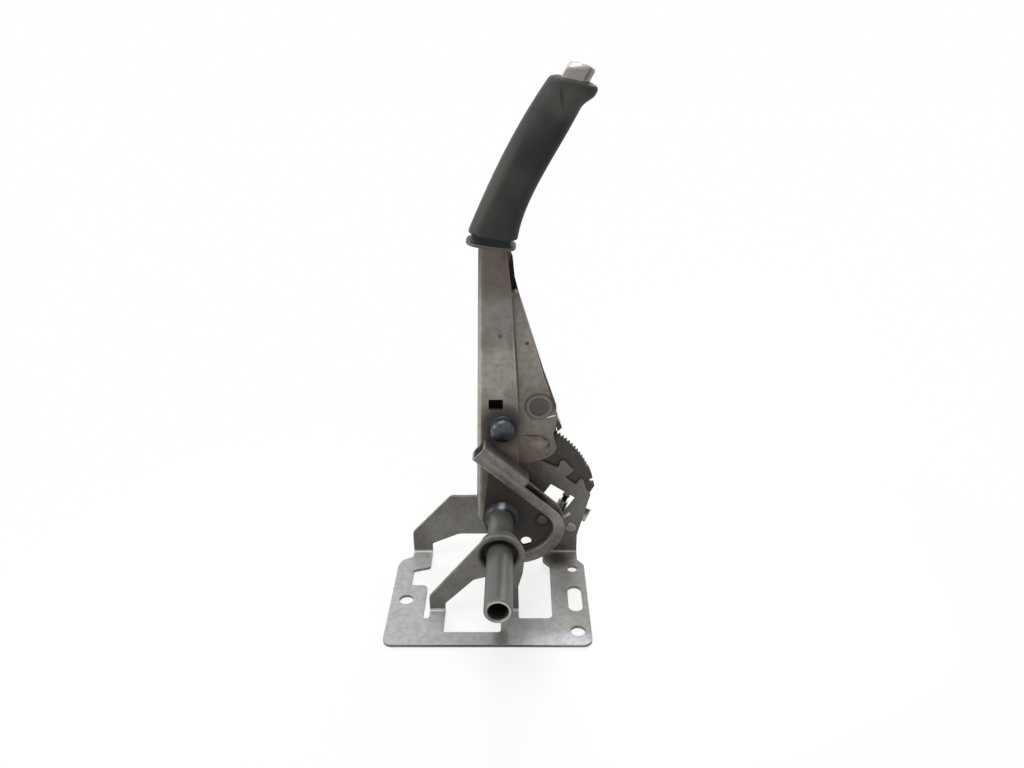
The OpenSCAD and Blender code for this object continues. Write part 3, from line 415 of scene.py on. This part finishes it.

# %% [markdown]
# ## Stamped bracket
# The bracket is sheet too, thicker and cleaner. Its base plate is the brightest face of all, as painted
# light on the face that lies under the lamps, and its uprights are duller. There is rust in the far
# corner, a darker front edge, and painted shade below the tube, on the back wall and in the loop round
# the tube. Plate and uprights are one pressing, so the plate's painted light is a thin patch that lies
# on it: a second material would need a cut.

# %% Stamped bracket
# Light grey base and duller uprights: the plate's lighter tone is painted light, for the face that
# lies in the light.
bracket_steel = finish("bare_bracket_steel", "#777670", "#68655f", [
    # Painted light: the base plate lighter than the uprights.
    ((-40, 45, 3.6), (150, 120, 1.5), "#acadac", 0.95, 0.75, 0),
    ((72, 62, 3.4), (40, 75, 2.0), "#8a8883", 0.9, 0.5, 0),
    # Painted light: the front rail lighter on its right.
    ((42, -12, 3.4), (50, 24, 2.0), "#ccd1d5", 0.9, 0.5, 0),
    # Darker along the plate's front edge.
    ((-8, -6.6, 1.9), (90, 1.1, 1.5), "#3f3d3a", 0.85, 0.6, 0),
    ((46, 96, 6), (13, 14, 12), "#4f382c", 0.8, 0.35, 0),
    # Painted shade on the front rail below the tube.
    ((1, 0, 3), (8, 16, 3), "#6d6861", 0.75, 0.3, 0),
    # Painted shade on the back wall behind the lever.
    ((30, 106, 70), (45, 8, 45), "#666159", 0.7, 0.3, 0),
    # Painted shade in the loop round the tube, darkest on its left.
    ((0, 38, foot_z), (19, 14, 19), "#4f4b46", 0.8, 0.7, 0),
    ((-2.5, 38, foot_z), (17, 18, 17), "#282623", 0.85, 0.78, 0)], metallic=0.4, soil=0.4)

# %% [markdown]
# ## Quadrant, tube and weld
# The quadrant's web was in the heat of the weld and went dark brown, and it is darker still by painted
# shade of its recess behind the rolled rim, which is lighter. The drawn tube is a clean grey with a bright
# cut end, painted light towards its back and a bore painted black as painted shade, and the weld has the
# blue-black of a bead that was never brushed, with a painted highlight on top. One finish with other
# numbers does for all of them.

# %% Quadrant, tube and weld
# Browned by heat and darkened as painted shade of its recess: the darkest sheet of the part, so the rim
# stands out from it.
web_steel = finish("browned_and_shaded_web_steel", "#3d332c", "#342b26", [
    ((0, 82, foot_z), (24, 6, 22), "#1f1f24", 0.9, 0.5, 0),
    ((33, 82, foot_z - 2), (7.4, 5, 7.4), "#191411", 0.85, 0.8, 0)], roughness=0.5, soil=0.4)
# Lighter rim and cable tunnel, with a painted highlight along the tunnel's upper front edge and painted
# shade down in the channel.
quadrant_steel = finish("rim_steel_with_painted_light", "#7b7872", "#6a6660", [
    ((4.7, 89, foot_z + 50), (34, 9.5, 2.8), "#5a5051", 0.9, 0.6, 42),
    # Painted highlight along the tunnel's upper front edge.
    ((2, 77, foot_z + 43.5), (26, 4, 2.6), "#a39f98", 0.6, 0.2, 42),
    ((42, 77, foot_z - 2), (12, 4, 18), "#96928b", 0.7, 0.3, 0),
    # Painted shade down in the channel between the lips.
    ((27.1, 86, foot_z + 16.6), (22, 6.3, 7), "#1d1a17", 0.9, 0.75, 42),
    ((46, 86, foot_z - 5), (8, 6.3, 17), "#1d1a17", 0.85, 0.7, 0),
    ((0, 90, foot_z - 30), (60, 30, 16), "#5b544d", 0.7, 0.3, 0)], roughness=0.4, soil=0.6)
# Even drawn grey with a bright end ring, painted light towards its back and the bore painted black as
# painted shade.
tube_steel = finish("drawn_tube_steel", "#5f605d", "#565753", [
    # Painted light towards the back, against the shade of the web.
    ((0, 62, foot_z), (12, 24, 12), "#777873", 0.8, 0.4, 0),
    ((0, -30.5, foot_z), (11, 1.8, 11), "#e2e0d9", 0.95, 0.6, 0),
    # Painted shade: the bore painted black all along.
    ((0, 46, foot_z), (7.6, 200, 7.6), "#121211", 1.0, 0.95, 0)], roughness=0.38, soil=0.15)
# Dark and glossy, so each ripple of the bead catches a small light, with a painted highlight on its top.
weld_steel = finish("heat_tinted_weld", "#292a2e", "#131416", [
    # Painted highlight on the top of the bead.
    ((1, 79, foot_z + 13), (5, 5, 4), "#9aa0a4", 0.8, 0.3, 0)], roughness=0.34, metallic=0.4, cloud_mm=6.0)
# Blue-black and smooth, as a drop that has flowed, with painted shade on its lower right.
stud_steel = finish("oil_blacked_stud_steel", "#454c4e", "#292d2f", [
    # Painted shade on the dome's lower right side.
    ((5.5, 86, foot_z + 68.5), (12, 14, 9), "#0c0e0f", 0.95, 0.5, 20)], roughness=0.28, cloud_mm=7.0)

# %% [markdown]
# ## Small steel parts
# The ratchet and the pawl are hardened and came out of the furnace dark. Rivets are upset from plain
# wire, and the heads in the bracket were ground off nearly flush with it, so they share its tone. The
# springs and the rod are drawn wire, and the switch's metal is plated. They could share one grey, but the
# eye tells parts this small from each other by their tone alone.

# %% Small steel parts
# Dark neutral brown with little shine: hardened steel.
sector_steel = finish("hardened_ratchet_steel", "#4d4843", "#403b37", roughness=0.5, cloud_mm=8.0, soil=0.3)
# Duller than the sheet, so the heads read as separate parts, but for the two ground ones.
rivet_steel = finish("upset_rivet_steel", "#4f4d48", "#45423d", [
    # The upper head is as dark as the painted shade on the wall round it.
    ((28, 105, foot_z + 34), (9, 9, 9), "#5d5953", 1.0, 0.8, 0),
    ((57.3, 105, foot_z - 25.2), (9, 9, 9), "#8f8d86", 1.0, 0.8, 0)], roughness=0.42, cloud_mm=6.0)
# Pale and bright: plated contact metal, tarnished at the terminal.
switch_metal = finish("plated_switch_steel", "#b2b1ac", "#8f8d86", [
    ((68, 110, foot_z - 15), (14, 8, 12), "#33312e", 0.95, 0.8, 0)], roughness=0.3, metallic=0.8,
    cloud_mm=5.0)
# Clean wire with a long highlight.
wire_steel = finish("drawn_spring_wire", "#9a9a96", "#77756f", roughness=0.3, metallic=0.8, cloud_mm=8.0)

# %% [markdown]
# ## Plastics and plating
# The grip is a soft charcoal plastic with a faint grain, darker in a broad diagonal band, with a painted
# highlight down its left edge and a painted shade line for a crease in its head. Bushes and switch are
# black mouldings. The button is chrome plate, satin on its sides, and its bright top is a painted
# reflection. The plastics have no metal in their shader and little reflection, which is what keeps them
# dull.

# %% Plastics and plating
# Charcoal, never black: the eye reads soft plastic from its broad dull light.
grip_plastic = finish("soft_charcoal_grip", "#2f2f2e", "#383836", [
    ((35, 91, foot_z + 284), (32, 10, 15), "#222221", 0.6, 0.4, -38),
    ((47, 95, foot_z + 314), (22, 20, 16), "#4c4b48", 0.75, 0.3, 0),
    # Painted highlight down the grip's left edge.
    ((-8, 97, foot_z + 250), (7, 16, 60), "#474643", 0.7, 0.3, 28),
    # Painted shade line standing for a crease in the head.
    ((42.4, 92, foot_z + 317), (1.7, 8, 10), "#242423", 0.6, 0.2, -6)], roughness=0.55, metallic=0.0,
    grain_mm=0.9, relief=0.25, specular=0.15)
# A shade lighter than the neck, so the band stands apart.
collar_plastic = finish("dark_grey_collar", "#454543", "#50504d", roughness=0.5, metallic=0.0,
                        grain_mm=0.9, specular=0.25)
# Nearly black with a soft sheen.
black_plastic = finish("black_moulded_plastic", "#161616", "#1e1e1d", roughness=0.45, metallic=0.0,
                       specular=0.2)
# Satin sides under a top painted bright as a painted reflection, with a painted shade line near the
# front edge.
chrome = finish("satin_chrome_plating", "#878280", "#837e7c", [
    # Painted reflection: the top painted near white.
    ((53, 105, foot_z + 345), (26, 30, 13), "#d8d6d4", 1.0, 0.7, 0),
    ((53, 113, foot_z + 340), (34, 10.5, 22), "#7d7a78", 0.95, 0.65, 0),
    # Painted shade line near the front edge.
    ((59.3, 97, foot_z + 330), (1.5, 6, 8), "#4a4644", 0.7, 0.4, 30)], roughness=0.2, metallic=1.0,
    relief=0.02)

# %% [markdown]
# ## Finishes on the solids
# The record names a material slot for every solid, so a table from slot to finish dresses them all. Only
# the web differs from the other solids of its slot.

# %% Finishes on the solids
FINISH = {"bracket_steel": bracket_steel, "sector_steel": sector_steel, "rivet_steel": rivet_steel,
          "bush_plastic": black_plastic, "switch_plastic": black_plastic, "switch_metal": switch_metal,
          "lever_steel": lever_steel, "quadrant_steel": quadrant_steel, "tube_steel": tube_steel,
          "weld_metal": weld_steel, "stud_steel": stud_steel, "spring_steel": wire_steel,
          "rod_steel": wire_steel, "grip_plastic": grip_plastic, "collar_plastic": collar_plastic,
          "button_chrome": chrome}
for part in frame["record"]["subparts"]:
    piece = nodes[part["node"]]
    piece.data.materials.clear()
    piece.data.materials.append(FINISH[part["material_slot"]])
nodes["cable_quadrant"].data.materials.clear()
nodes["cable_quadrant"].data.materials.append(web_steel)
print("finishes", len(FINISH))

# %% [markdown]
# ## Skins made of rings
# The moulded and welded pieces are surfaces over rings of points: each ring is a closed line round the
# piece, and each row follows the last. Curves with a bevel could be used for some of them, but rings of
# points give every form in the same way. One function turns the rings into a mesh, closes its ends with a
# flat face each and makes the faces look outwards.

# %% Skins made of rings


def skin(name, rings, slot, body, stands_for=(), closed_rows=False):
    """Mesh over rings [row, point, xyz] in mm; rows that don't close on themselves get a flat end each."""
    rows, count, _ = rings.shape
    index = np.arange(rows * count).reshape(rows, count)
    here = index if closed_rows else index[:-1]
    beyond = np.roll(index, -1, axis=0) if closed_rows else index[1:]
    quads = np.stack([here, np.roll(here, -1, 1), np.roll(beyond, -1, 1), beyond], -1).reshape(-1, 4)
    ends = index[:0] if closed_rows else np.stack([index[0][::-1], index[-1]])
    points = rings.reshape(-1, 3)
    # The volume that the faces enclose has a sign, which tells whether they look outwards.
    hubs = np.broadcast_to(points[ends].mean(axis=1, keepdims=True), (*ends.shape, 3))
    fans = np.stack([points[ends], points[np.roll(ends, -1, 1)], hubs], -2).reshape(-1, 3, 3)
    halves = [points[quads[:, [0, 1, 2]]], points[quads[:, [0, 2, 3]]]]
    corners = np.concatenate([*halves, fans])
    volume = np.einsum("ij,ij->i", corners[:, 0], np.cross(corners[:, 1], corners[:, 2])).sum()
    order = slice(None, None, 1 if volume > 0 else -1)
    mesh = bpy.data.meshes.new(name)
    mesh.from_pydata((points * MM).tolist(), [], quads[:, order].tolist() + ends[:, order].tolist())
    mesh.materials.append(FINISH[slot])
    piece = bpy.data.objects.new(name, mesh)
    bpy.context.scene.collection.objects.link(piece)
    piece.modifiers.new("shade", "NODES").node_group = shade_group
    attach(piece, body)
    if stands_for:
        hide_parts(*stands_for)
    print(name, len(mesh.polygons), "faces")


def around(count):
    """Equal turns round a full circle."""
    return np.linspace(0, 2 * np.pi, count, endpoint=False)


def superellipse(turns, power):
    """Cosine and sine raised to 2 / power with their sign kept: power 2 is a circle, 4 a soft square."""
    c, s = np.cos(turns), np.sin(turns)
    return np.sign(c) * np.abs(c) ** (2 / power), np.sign(s) * np.abs(s) ** (2 / power)


print("a soft square's corner", superellipse(np.array([np.pi / 4]), 4.0)[0])

# %% [markdown]
# ## Grip
# A soft plastic sleeve pushed over the lever's tongue. It could be a subdivided box, but then its outline
# would only be near the photo's. Seen from the side its back and front edges are gentle curves, each a
# cubic through a few measured points, so every ring is spanned between a point of one and a point of the
# other, and the rings lean over by themselves from the foot's slant to the head's. Points in the lever's
# plane are x and the height above the pivot, in mm, here and below.

# %% Grip edges
back_points = np.array([[-21.0, 227.4], [-6.5, 258.8], [12.9, 295.0], [27.8, 319.0], [35.1, 328.9]])
front_points = np.array([[13.7, 220.2], [15.7, 229.3], [22.6, 248.9], [35.9, 273.7], [50.5, 299.3],
                         [56.7, 310.9]])
back_ends, front_ends = (226.0, 330.2), (220.4, 324.3)
along = np.linspace(0, 1, 90)


def edge_line(points, ends):
    """Points (x, z) of an edge at even heights: x is a cubic of z, fitted to the measured points."""
    heights = ends[0] + along * (ends[1] - ends[0])
    cubic = np.polyfit(points[:, 1], points[:, 0], 3)
    return np.stack([np.polyval(cubic, heights), heights], -1)


back_edge = edge_line(back_points, back_ends)
front_edge = edge_line(front_points, front_ends)
grip_length = np.linalg.norm(front_edge[-1] - front_edge[0])
print("grip", round(grip_length, 1), "mm long")

# %% [markdown]
# ## Grip sleeve
# The section is a soft ellipse, drawn in at foot and head by small fillets. A finger nose stands out at
# the top of the front edge: a bump along the length with a steep flank above and a longer one below,
# which dies away towards the sides.

# %% Grip sleeve
grip_depth, grip_power = 30.0, 2.9
foot_fillet, head_fillet = 2.2, 3.2
nose_reach, nose_below, nose_round = 5.4, 5.2, 0.7
upper_span, upper_power = 6.6, 4
lower_span, lower_power = 7.0, 2.6


def fillet(distance, radius):
    """How far a quarter circle draws in at a distance from the end: its radius there, nothing beyond it."""
    share = np.minimum(distance / radius, 1)
    return radius * (1 - np.sqrt(1 - (1 - share) ** 2))


half_width = np.linalg.norm(front_edge - back_edge, axis=1)[:, None] / 2
across = (front_edge - back_edge) / (2 * half_width)
turns = around(120)
c, s = superellipse(turns, grip_power)
to_head = (1 - along) * grip_length
inset = (fillet(along * grip_length, foot_fillet) + fillet(to_head, head_fillet))[:, None]
above = nose_below - to_head
upper_flank = np.exp(-(np.abs(above) / upper_span) ** upper_power)
lower_flank = np.exp(-(np.abs(above) / lower_span) ** lower_power)
nose = nose_reach * np.where(above > 0, upper_flank, lower_flank)
reach = (half_width - inset) * c + nose[:, None] * np.clip(np.cos(turns), 0, 1) ** nose_round
depth = (grip_depth / 2 - inset) * s
plane = ((front_edge + back_edge) / 2)[:, None, :] + reach[..., None] * across[:, None, :]
sleeve = np.stack([plane[..., 0], lever_mid_y + depth, plane[..., 1]], -1)
print("sleeve", sleeve.shape[0], "rings of", sleeve.shape[1], "points")

# %% [markdown]
# ## Button well
# The sleeve's head has a soft square well for the button, along the handle's axis. A Boolean could cut
# it, but leaves ragged faces. Here the sleeve's rings simply go on over the head and down into the well.
# The mouth of the well lies on the head's slant: each of its points is slid along the axis until it meets
# that slant.

# %% Button well
button_half, button_gap, button_shift = 8.75, 0.35, 0.7
well_depth, well_lip, well_power = 5.0, 0.5, 4.5
head_steps = np.array([0.2, 0.6, 0.95, 1.0])
foot_share = 0.35
rod_bend = np.array([-3.77, 232.0])
axis_plane = np.array([handle[0], handle[2]])
side_plane = np.array([handle[2], -handle[0]])
head_run = front_edge[-1] - back_edge[-1]
head_normal = np.array([-head_run[1], head_run[0]]) / np.linalg.norm(head_run)
well_c, well_s = superellipse(turns, well_power)
well_half = button_half + button_gap
side = rod_bend + (button_shift + well_half * well_c)[:, None] * side_plane
rise = ((front_edge[-1] - side) @ head_normal) / (axis_plane @ head_normal)
mouth = side + rise[:, None] * axis_plane
mouth = np.stack([mouth[:, 0], lever_mid_y + well_half * well_s, mouth[:, 1]], -1)
head = sleeve[-1] + head_steps[:, None, None] * (mouth - sleeve[-1])
well = mouth - np.array([well_lip, well_depth])[:, None, None] * handle
foot = sleeve[0] + foot_share * (sleeve[0].mean(axis=0) - sleeve[0])
rings = np.concatenate([foot[None], sleeve, head, well]) + [0, 0, foot_z]
skin("grip_sleeve", rings, "grip_plastic", "lever", ["grip"])

# %% [markdown]
# ## Neck and collar
# Below the sleeve a dark rubber neck shows, and under it a thin band that holds the boot. Both sit square
# to the collar's own slant. The band is closed on itself: a small rounded bar carried round a soft
# rectangle. Turned rings would be simpler, but the lever's tongue is flat, so both are rectangles with
# soft corners.

# %% Neck and collar
neck_at = np.array([-5.0, 218.7])
neck_tilt = math.radians(8)
neck_across = np.array([math.cos(neck_tilt), -math.sin(neck_tilt)])
neck_along = np.array([math.sin(neck_tilt), math.cos(neck_tilt)])
neck_half_x, neck_half_y, neck_power = 15.0, 13.4, 6.0
waist_depth, waist_height = 0.4, 6
band_half, band_hole = np.array([18.0, 15.2]), np.array([12.6, 12.6])
band_height, band_power, bar_power = 2.3, 3.6, 2.6


def neck_rings(half_x, half_y, heights, power):
    """Soft rectangles square to the neck, one for each height and pair of half sizes."""
    c, s = superellipse(around(112), power)
    wide = (half_x[:, None] * c)[..., None] * neck_across
    flat = neck_at + heights[:, None, None] * neck_along + wide
    return np.stack([flat[..., 0], lever_mid_y + half_y[:, None] * s, flat[..., 1] + foot_z], -1)


neck_heights = np.linspace(-1.0, 7, 21)
waist = waist_depth * np.sin(np.pi * np.clip(neck_heights / waist_height, 0, 1))
rings = neck_rings(neck_half_x - waist, neck_half_y - waist, neck_heights, neck_power)
skin("grip_neck", rings, "bush_plastic", "lever")
bar_c, bar_s = superellipse(around(28), bar_power)
band_x, band_y = band_hole[:, None] + (band_half - band_hole)[:, None] * (1 + bar_c) / 2
rings = neck_rings(band_x, band_y, band_height * (bar_s - 1) / 2, band_power)
skin("collar_ring", rings, "collar_plastic", "lever", ["grip_collar"], closed_rows=True)

# %% [markdown]
# ## Release button
# A plated thumb button: a soft square plug with a domed top. A bevelled box would have a flat top, which
# chrome shows at once. The dome falls off by parabolas from a peak that lies forward of the plug's
# middle, so the front edge stands taller than the back, and its rim is rolled over by a quarter circle.
# The top's rings are the plug's outline, drawn in towards the middle.

# %% Release button
button_low, button_top, peak_shift = 86.0, 123.0, 3.6
lengthways_radius, sideways_radius = 12.0, 13.0
rim_roll, button_power = 1.8, 4.2
foot_shrink, ring_spread = 0.96, 0.6
wall_steps = np.array([0.0, 0.02, 0.6, 1.0])
c, s = superellipse(around(112), button_power)
top_shrink = np.cos(np.linspace(0, 0.5 * np.pi, 40)[1:-1]) ** ring_spread
shrink = np.concatenate([[foot_shrink], np.ones(3), top_shrink])
shift = button_shift + button_half * shrink[:, None] * c
depth = button_half * shrink[:, None] * s
fall_lengthways = (shift - peak_shift) ** 2 / (2 * lengthways_radius)
fall_sideways = depth ** 2 / (2 * sideways_radius)
dome = button_top - fall_lengthways - fall_sideways
edge = np.clip(1 - (1 - shrink) * button_half / rim_roll, 0, 1)[:, None]
rise = dome - rim_roll * (1 - np.sqrt(1 - edge ** 2))
rise[:4] = button_low + (rise[3] - button_low) * wall_steps[:, None]
flat = rod_bend + rise[..., None] * axis_plane + shift[..., None] * side_plane
rings = np.stack([flat[..., 0], lever_mid_y + depth, flat[..., 1] + foot_z], -1)
skin("button_cap", rings, "button_chrome", "button", ["button"])

# %% [markdown]
# ## Weld bead
# The tube is welded to the quadrant all round. The bead flares from the tube out to the web in a hollow
# curve, laid in overlapping scales, so the flare swells and dips a little at even steps round the tube,
# and its width wanders as a hand does, in three slow and seven quick waves. A noise texture could hint at
# that, but would leave the outline straight.

# %% Weld bead
tube_radius, bead_gap = 10.0, 0.02
web_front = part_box("tube_weld")[1].y / MM
bead_leg, hollow = 4.2, 0.55
scale_count, scale_height, scale_mean = 30, 0.16, 0.6
slow_wander, quick_wander = 0.22, 0.12
bead_turns = around(360)
lean = np.linspace(0, 0.5 * np.pi, 14)[:, None]
scale_phase = (bead_turns * scale_count / (2 * np.pi)) % 1
scales = scale_height * (np.sqrt(1 - scale_phase ** 2) - scale_mean)
wander = slow_wander * np.sin(3 * bead_turns + 0.7) + quick_wander * np.sin(7 * bead_turns)
leg = bead_leg + wander + scales * np.sin(2 * lean)
straight = lean / (0.5 * np.pi)
toward = leg * (hollow * (1 - np.sin(lean)) + (1 - hollow) * (1 - straight))
outward = leg * (hollow * (1 - np.cos(lean)) + (1 - hollow) * straight)
root = np.zeros((1, len(bead_turns)))
toward = np.vstack([toward, root])
radius = tube_radius + bead_gap + np.vstack([outward, root])
rings = np.stack([pivot[0] + radius * np.sin(bead_turns), web_front - toward,
                  foot_z + radius * np.cos(bead_turns)], -1)
skin("weld_bead", rings, "weld_metal", "lever", ["tube_weld"], closed_rows=True)

# %% [markdown]
# ## Domed stud
# The dark stud above the quadrant is a drop of metal fused to the column: a smooth dome that isn't quite
# round, on a low skirt. A sphere would look machined, so it is a turned profile whose radius drifts a
# little with the turn, in two slow and five quick waves.

# %% Domed stud
stud_at = np.array([1.7, 74.5 + foot_z])
stud_radius, stud_rise, stud_fullness = 10.0, 6.9, 0.72
skirt_height = 2.0
skirt = np.array([[0.0, 10.9], [0.3, 10.8], [0.8, 10.5], [1.4, 10.2]])
slow_drift, quick_drift = 0.02, 0.012
stud_turns = around(120)
climb = np.linspace(0, 0.5 * np.pi, 24)[:-1]
dome_height = skirt_height + stud_rise * np.sin(climb)
dome_radius = stud_radius * np.cos(climb) ** stud_fullness
profile = np.vstack([skirt, np.stack([dome_height, dome_radius], -1)])
height, out = profile.T[:, :, None]
drift = slow_drift * np.sin(2 * stud_turns + 0.6) + quick_drift * np.sin(5 * stud_turns)
radius = out * (1 + drift)
stud_y = np.broadcast_to(column_y - height, radius.shape)
rings = np.stack([stud_at[0] + radius * np.sin(stud_turns), stud_y,
                  stud_at[1] + radius * np.cos(stud_turns)], -1)
skin("stud_dome", rings, "stud_steel", "lever", ["anchor_stud"])

# %% [markdown]
# ## Sheet bent to a section
# The quadrant's rim and its cable tunnel are sheet, folded to a section and carried along a path.
# Solidify on a thin surface would give square edges. So the section starts as a middle line with rounded
# bends, gets half the sheet's thickness on either side and a rounded edge at both ends. The path is
# followed in the lever's plane, and the section stands square to it.

# %% Sheet bent to a section
SHEET = 2.4
BEND = 2.6


def bent_line(corners, bend=BEND, steps=9):
    """Line through corners at right angles, each one rounded by a quarter circle of the bend's radius."""
    run = np.diff(np.array(corners, float), axis=0)
    run /= np.linalg.norm(run, axis=1, keepdims=True)
    before, after = run[:-1, None, :], run[1:, None, :]
    turn = np.linspace(0, 0.5 * np.pi, steps)[None, :, None]
    centres = np.array(corners[1:-1])[:, None, :] + bend * (after - before)
    arcs = centres - bend * after * np.cos(turn) + bend * before * np.sin(turn)
    return np.vstack([corners[:1], arcs.reshape(-1, 2), corners[-1:]])


def sheet_outline(line, thickness=SHEET, steps=5):
    """Closed outline of a sheet about its middle line: both sides, and a half circle round each edge."""
    run = np.gradient(line, axis=0)
    run /= np.linalg.norm(run, axis=1, keepdims=True)
    out = np.stack([-run[:, 1], run[:, 0]], -1)
    turn = np.linspace(0, np.pi, steps + 2)[1:-1, None]
    last = line[-1] + thickness / 2 * (out[-1] * np.cos(turn) + run[-1] * np.sin(turn))
    first = line[0] - thickness / 2 * (out[0] * np.cos(turn) + run[0] * np.sin(turn))
    return np.vstack([line + thickness / 2 * out, last, (line - thickness / 2 * out)[::-1], first])


def carried(outline, path, outward):
    """The outline (height, y) set at each point of a path, with its height along the outward direction."""
    flat = path[:, None, :] + outline[None, :, 0, None] * outward[:, None, :]
    depth = np.broadcast_to(outline[:, 1], flat.shape[:2])
    return np.stack([pivot[0] + flat[..., 0], depth, foot_z + flat[..., 1]], -1)


quadrant_y = np.array([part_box("front_lip")[0].y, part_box("back_lip")[1].y]) / MM
lip_front, lip_back = quadrant_y + np.array([0.5, -0.5]) * SHEET
print("quadrant from", quadrant_y[0], "to", quadrant_y[1], "mm")

# %% [markdown]
# ## Quadrant rim
# The cable lies in a channel that runs straight, turns round a tight corner and then follows a wide arc.
# The path is that line on the channel's floor, worked out piece by piece so that it meets the solids, and
# its outward direction is square to it.

# %% Quadrant rim
floor_at, lip_height, floor_drop = 28.5, 7.0, -SHEET / 2
slope = math.radians(42)
straight_out = np.array([math.sin(slope), math.cos(slope)])
straight_run = np.array([math.cos(slope), -math.sin(slope)])
tunnel_start, tunnel_end, straight_end = -52.5, -7.4, 25.0
corner_at, corner_radius = np.array([27.7, -7.7]), 15.7
arc_at, arc_radius = np.array([12.0, -2.0]), 32.4
arc_start, arc_end = math.radians(-20), math.radians(-130)
corner_turns = np.linspace(0.5 * np.pi - slope, arc_start, 24)
arc_turns = np.linspace(arc_start, arc_end, 48)[1:]
turned = np.concatenate([corner_turns, arc_turns])
round_out = np.stack([np.cos(turned), np.sin(turned)], -1)
is_corner = (np.arange(len(turned)) < len(corner_turns))[:, None]
round_path = np.where(is_corner, corner_at + corner_radius * round_out, arc_at + arc_radius * round_out)
straight_path = floor_at * straight_out + np.linspace(tunnel_end, straight_end, 10)[:, None] * straight_run
path = np.vstack([straight_path, round_path])
outward = np.vstack([np.broadcast_to(straight_out, straight_path.shape), round_out])
lip_top = lip_height - SHEET / 2
channel = bent_line([[lip_top, lip_back], [floor_drop, lip_back], [floor_drop, lip_front],
                     [lip_top, lip_front]])
skin("quadrant_channel", carried(sheet_outline(channel), path, outward), "quadrant_steel", "lever",
     ["quadrant_rim", "front_lip", "back_lip"])

# %% [markdown]
# ## Cable tunnel
# At its upper end the channel's front lip is taller and folded back over the cable, which makes a tunnel.
# It is the same sheet with one more bend, carried along the straight, so the same helpers make it.

# %% Cable tunnel
tunnel_height = 12.8
tunnel_top = tunnel_height - SHEET / 2
fold = bent_line([[lip_top, lip_back], [floor_drop, lip_back], [floor_drop, lip_front],
                  [tunnel_top, lip_front], [tunnel_top, lip_back]])
tunnel_path = floor_at * straight_out + np.linspace(tunnel_start, tunnel_end, 30)[:, None] * straight_run
rings = carried(sheet_outline(fold), tunnel_path, np.broadcast_to(straight_out, tunnel_path.shape))
skin("tunnel_fold", rings, "quadrant_steel", "lever", ["cable_tunnel"])

# %% [markdown]
# ## Clip ear
# The switch is held by a thin plated clip, one ear of which lies on the front of the bracket's back wall,
# just below the window. A box would do, but with sharp edges, so it is a short flat strap: the same kind
# of section as the rim, carried across its width.

# %% Clip ear
ear_sheet, ear_length, ear_width = 0.8, 8.4, 3.0
ear_at, ear_slope = np.array([49.5, -16.1]), math.radians(36)
wall_front = 105.0
ear_run = np.array([math.cos(ear_slope), math.sin(ear_slope)])
ear_side = np.array([-ear_run[1], ear_run[0]])
ear_y = wall_front - ear_sheet / 2
ear_line = np.array([[0.0, ear_y], [ear_length, ear_y]])
ear_path = ear_at + np.linspace(-0.5, 0.5, 5)[:, None] * ear_width * ear_side
rings = carried(sheet_outline(ear_line, ear_sheet), ear_path, np.broadcast_to(ear_run, ear_path.shape))
skin("clip_ear", rings, "switch_metal", "bracket")
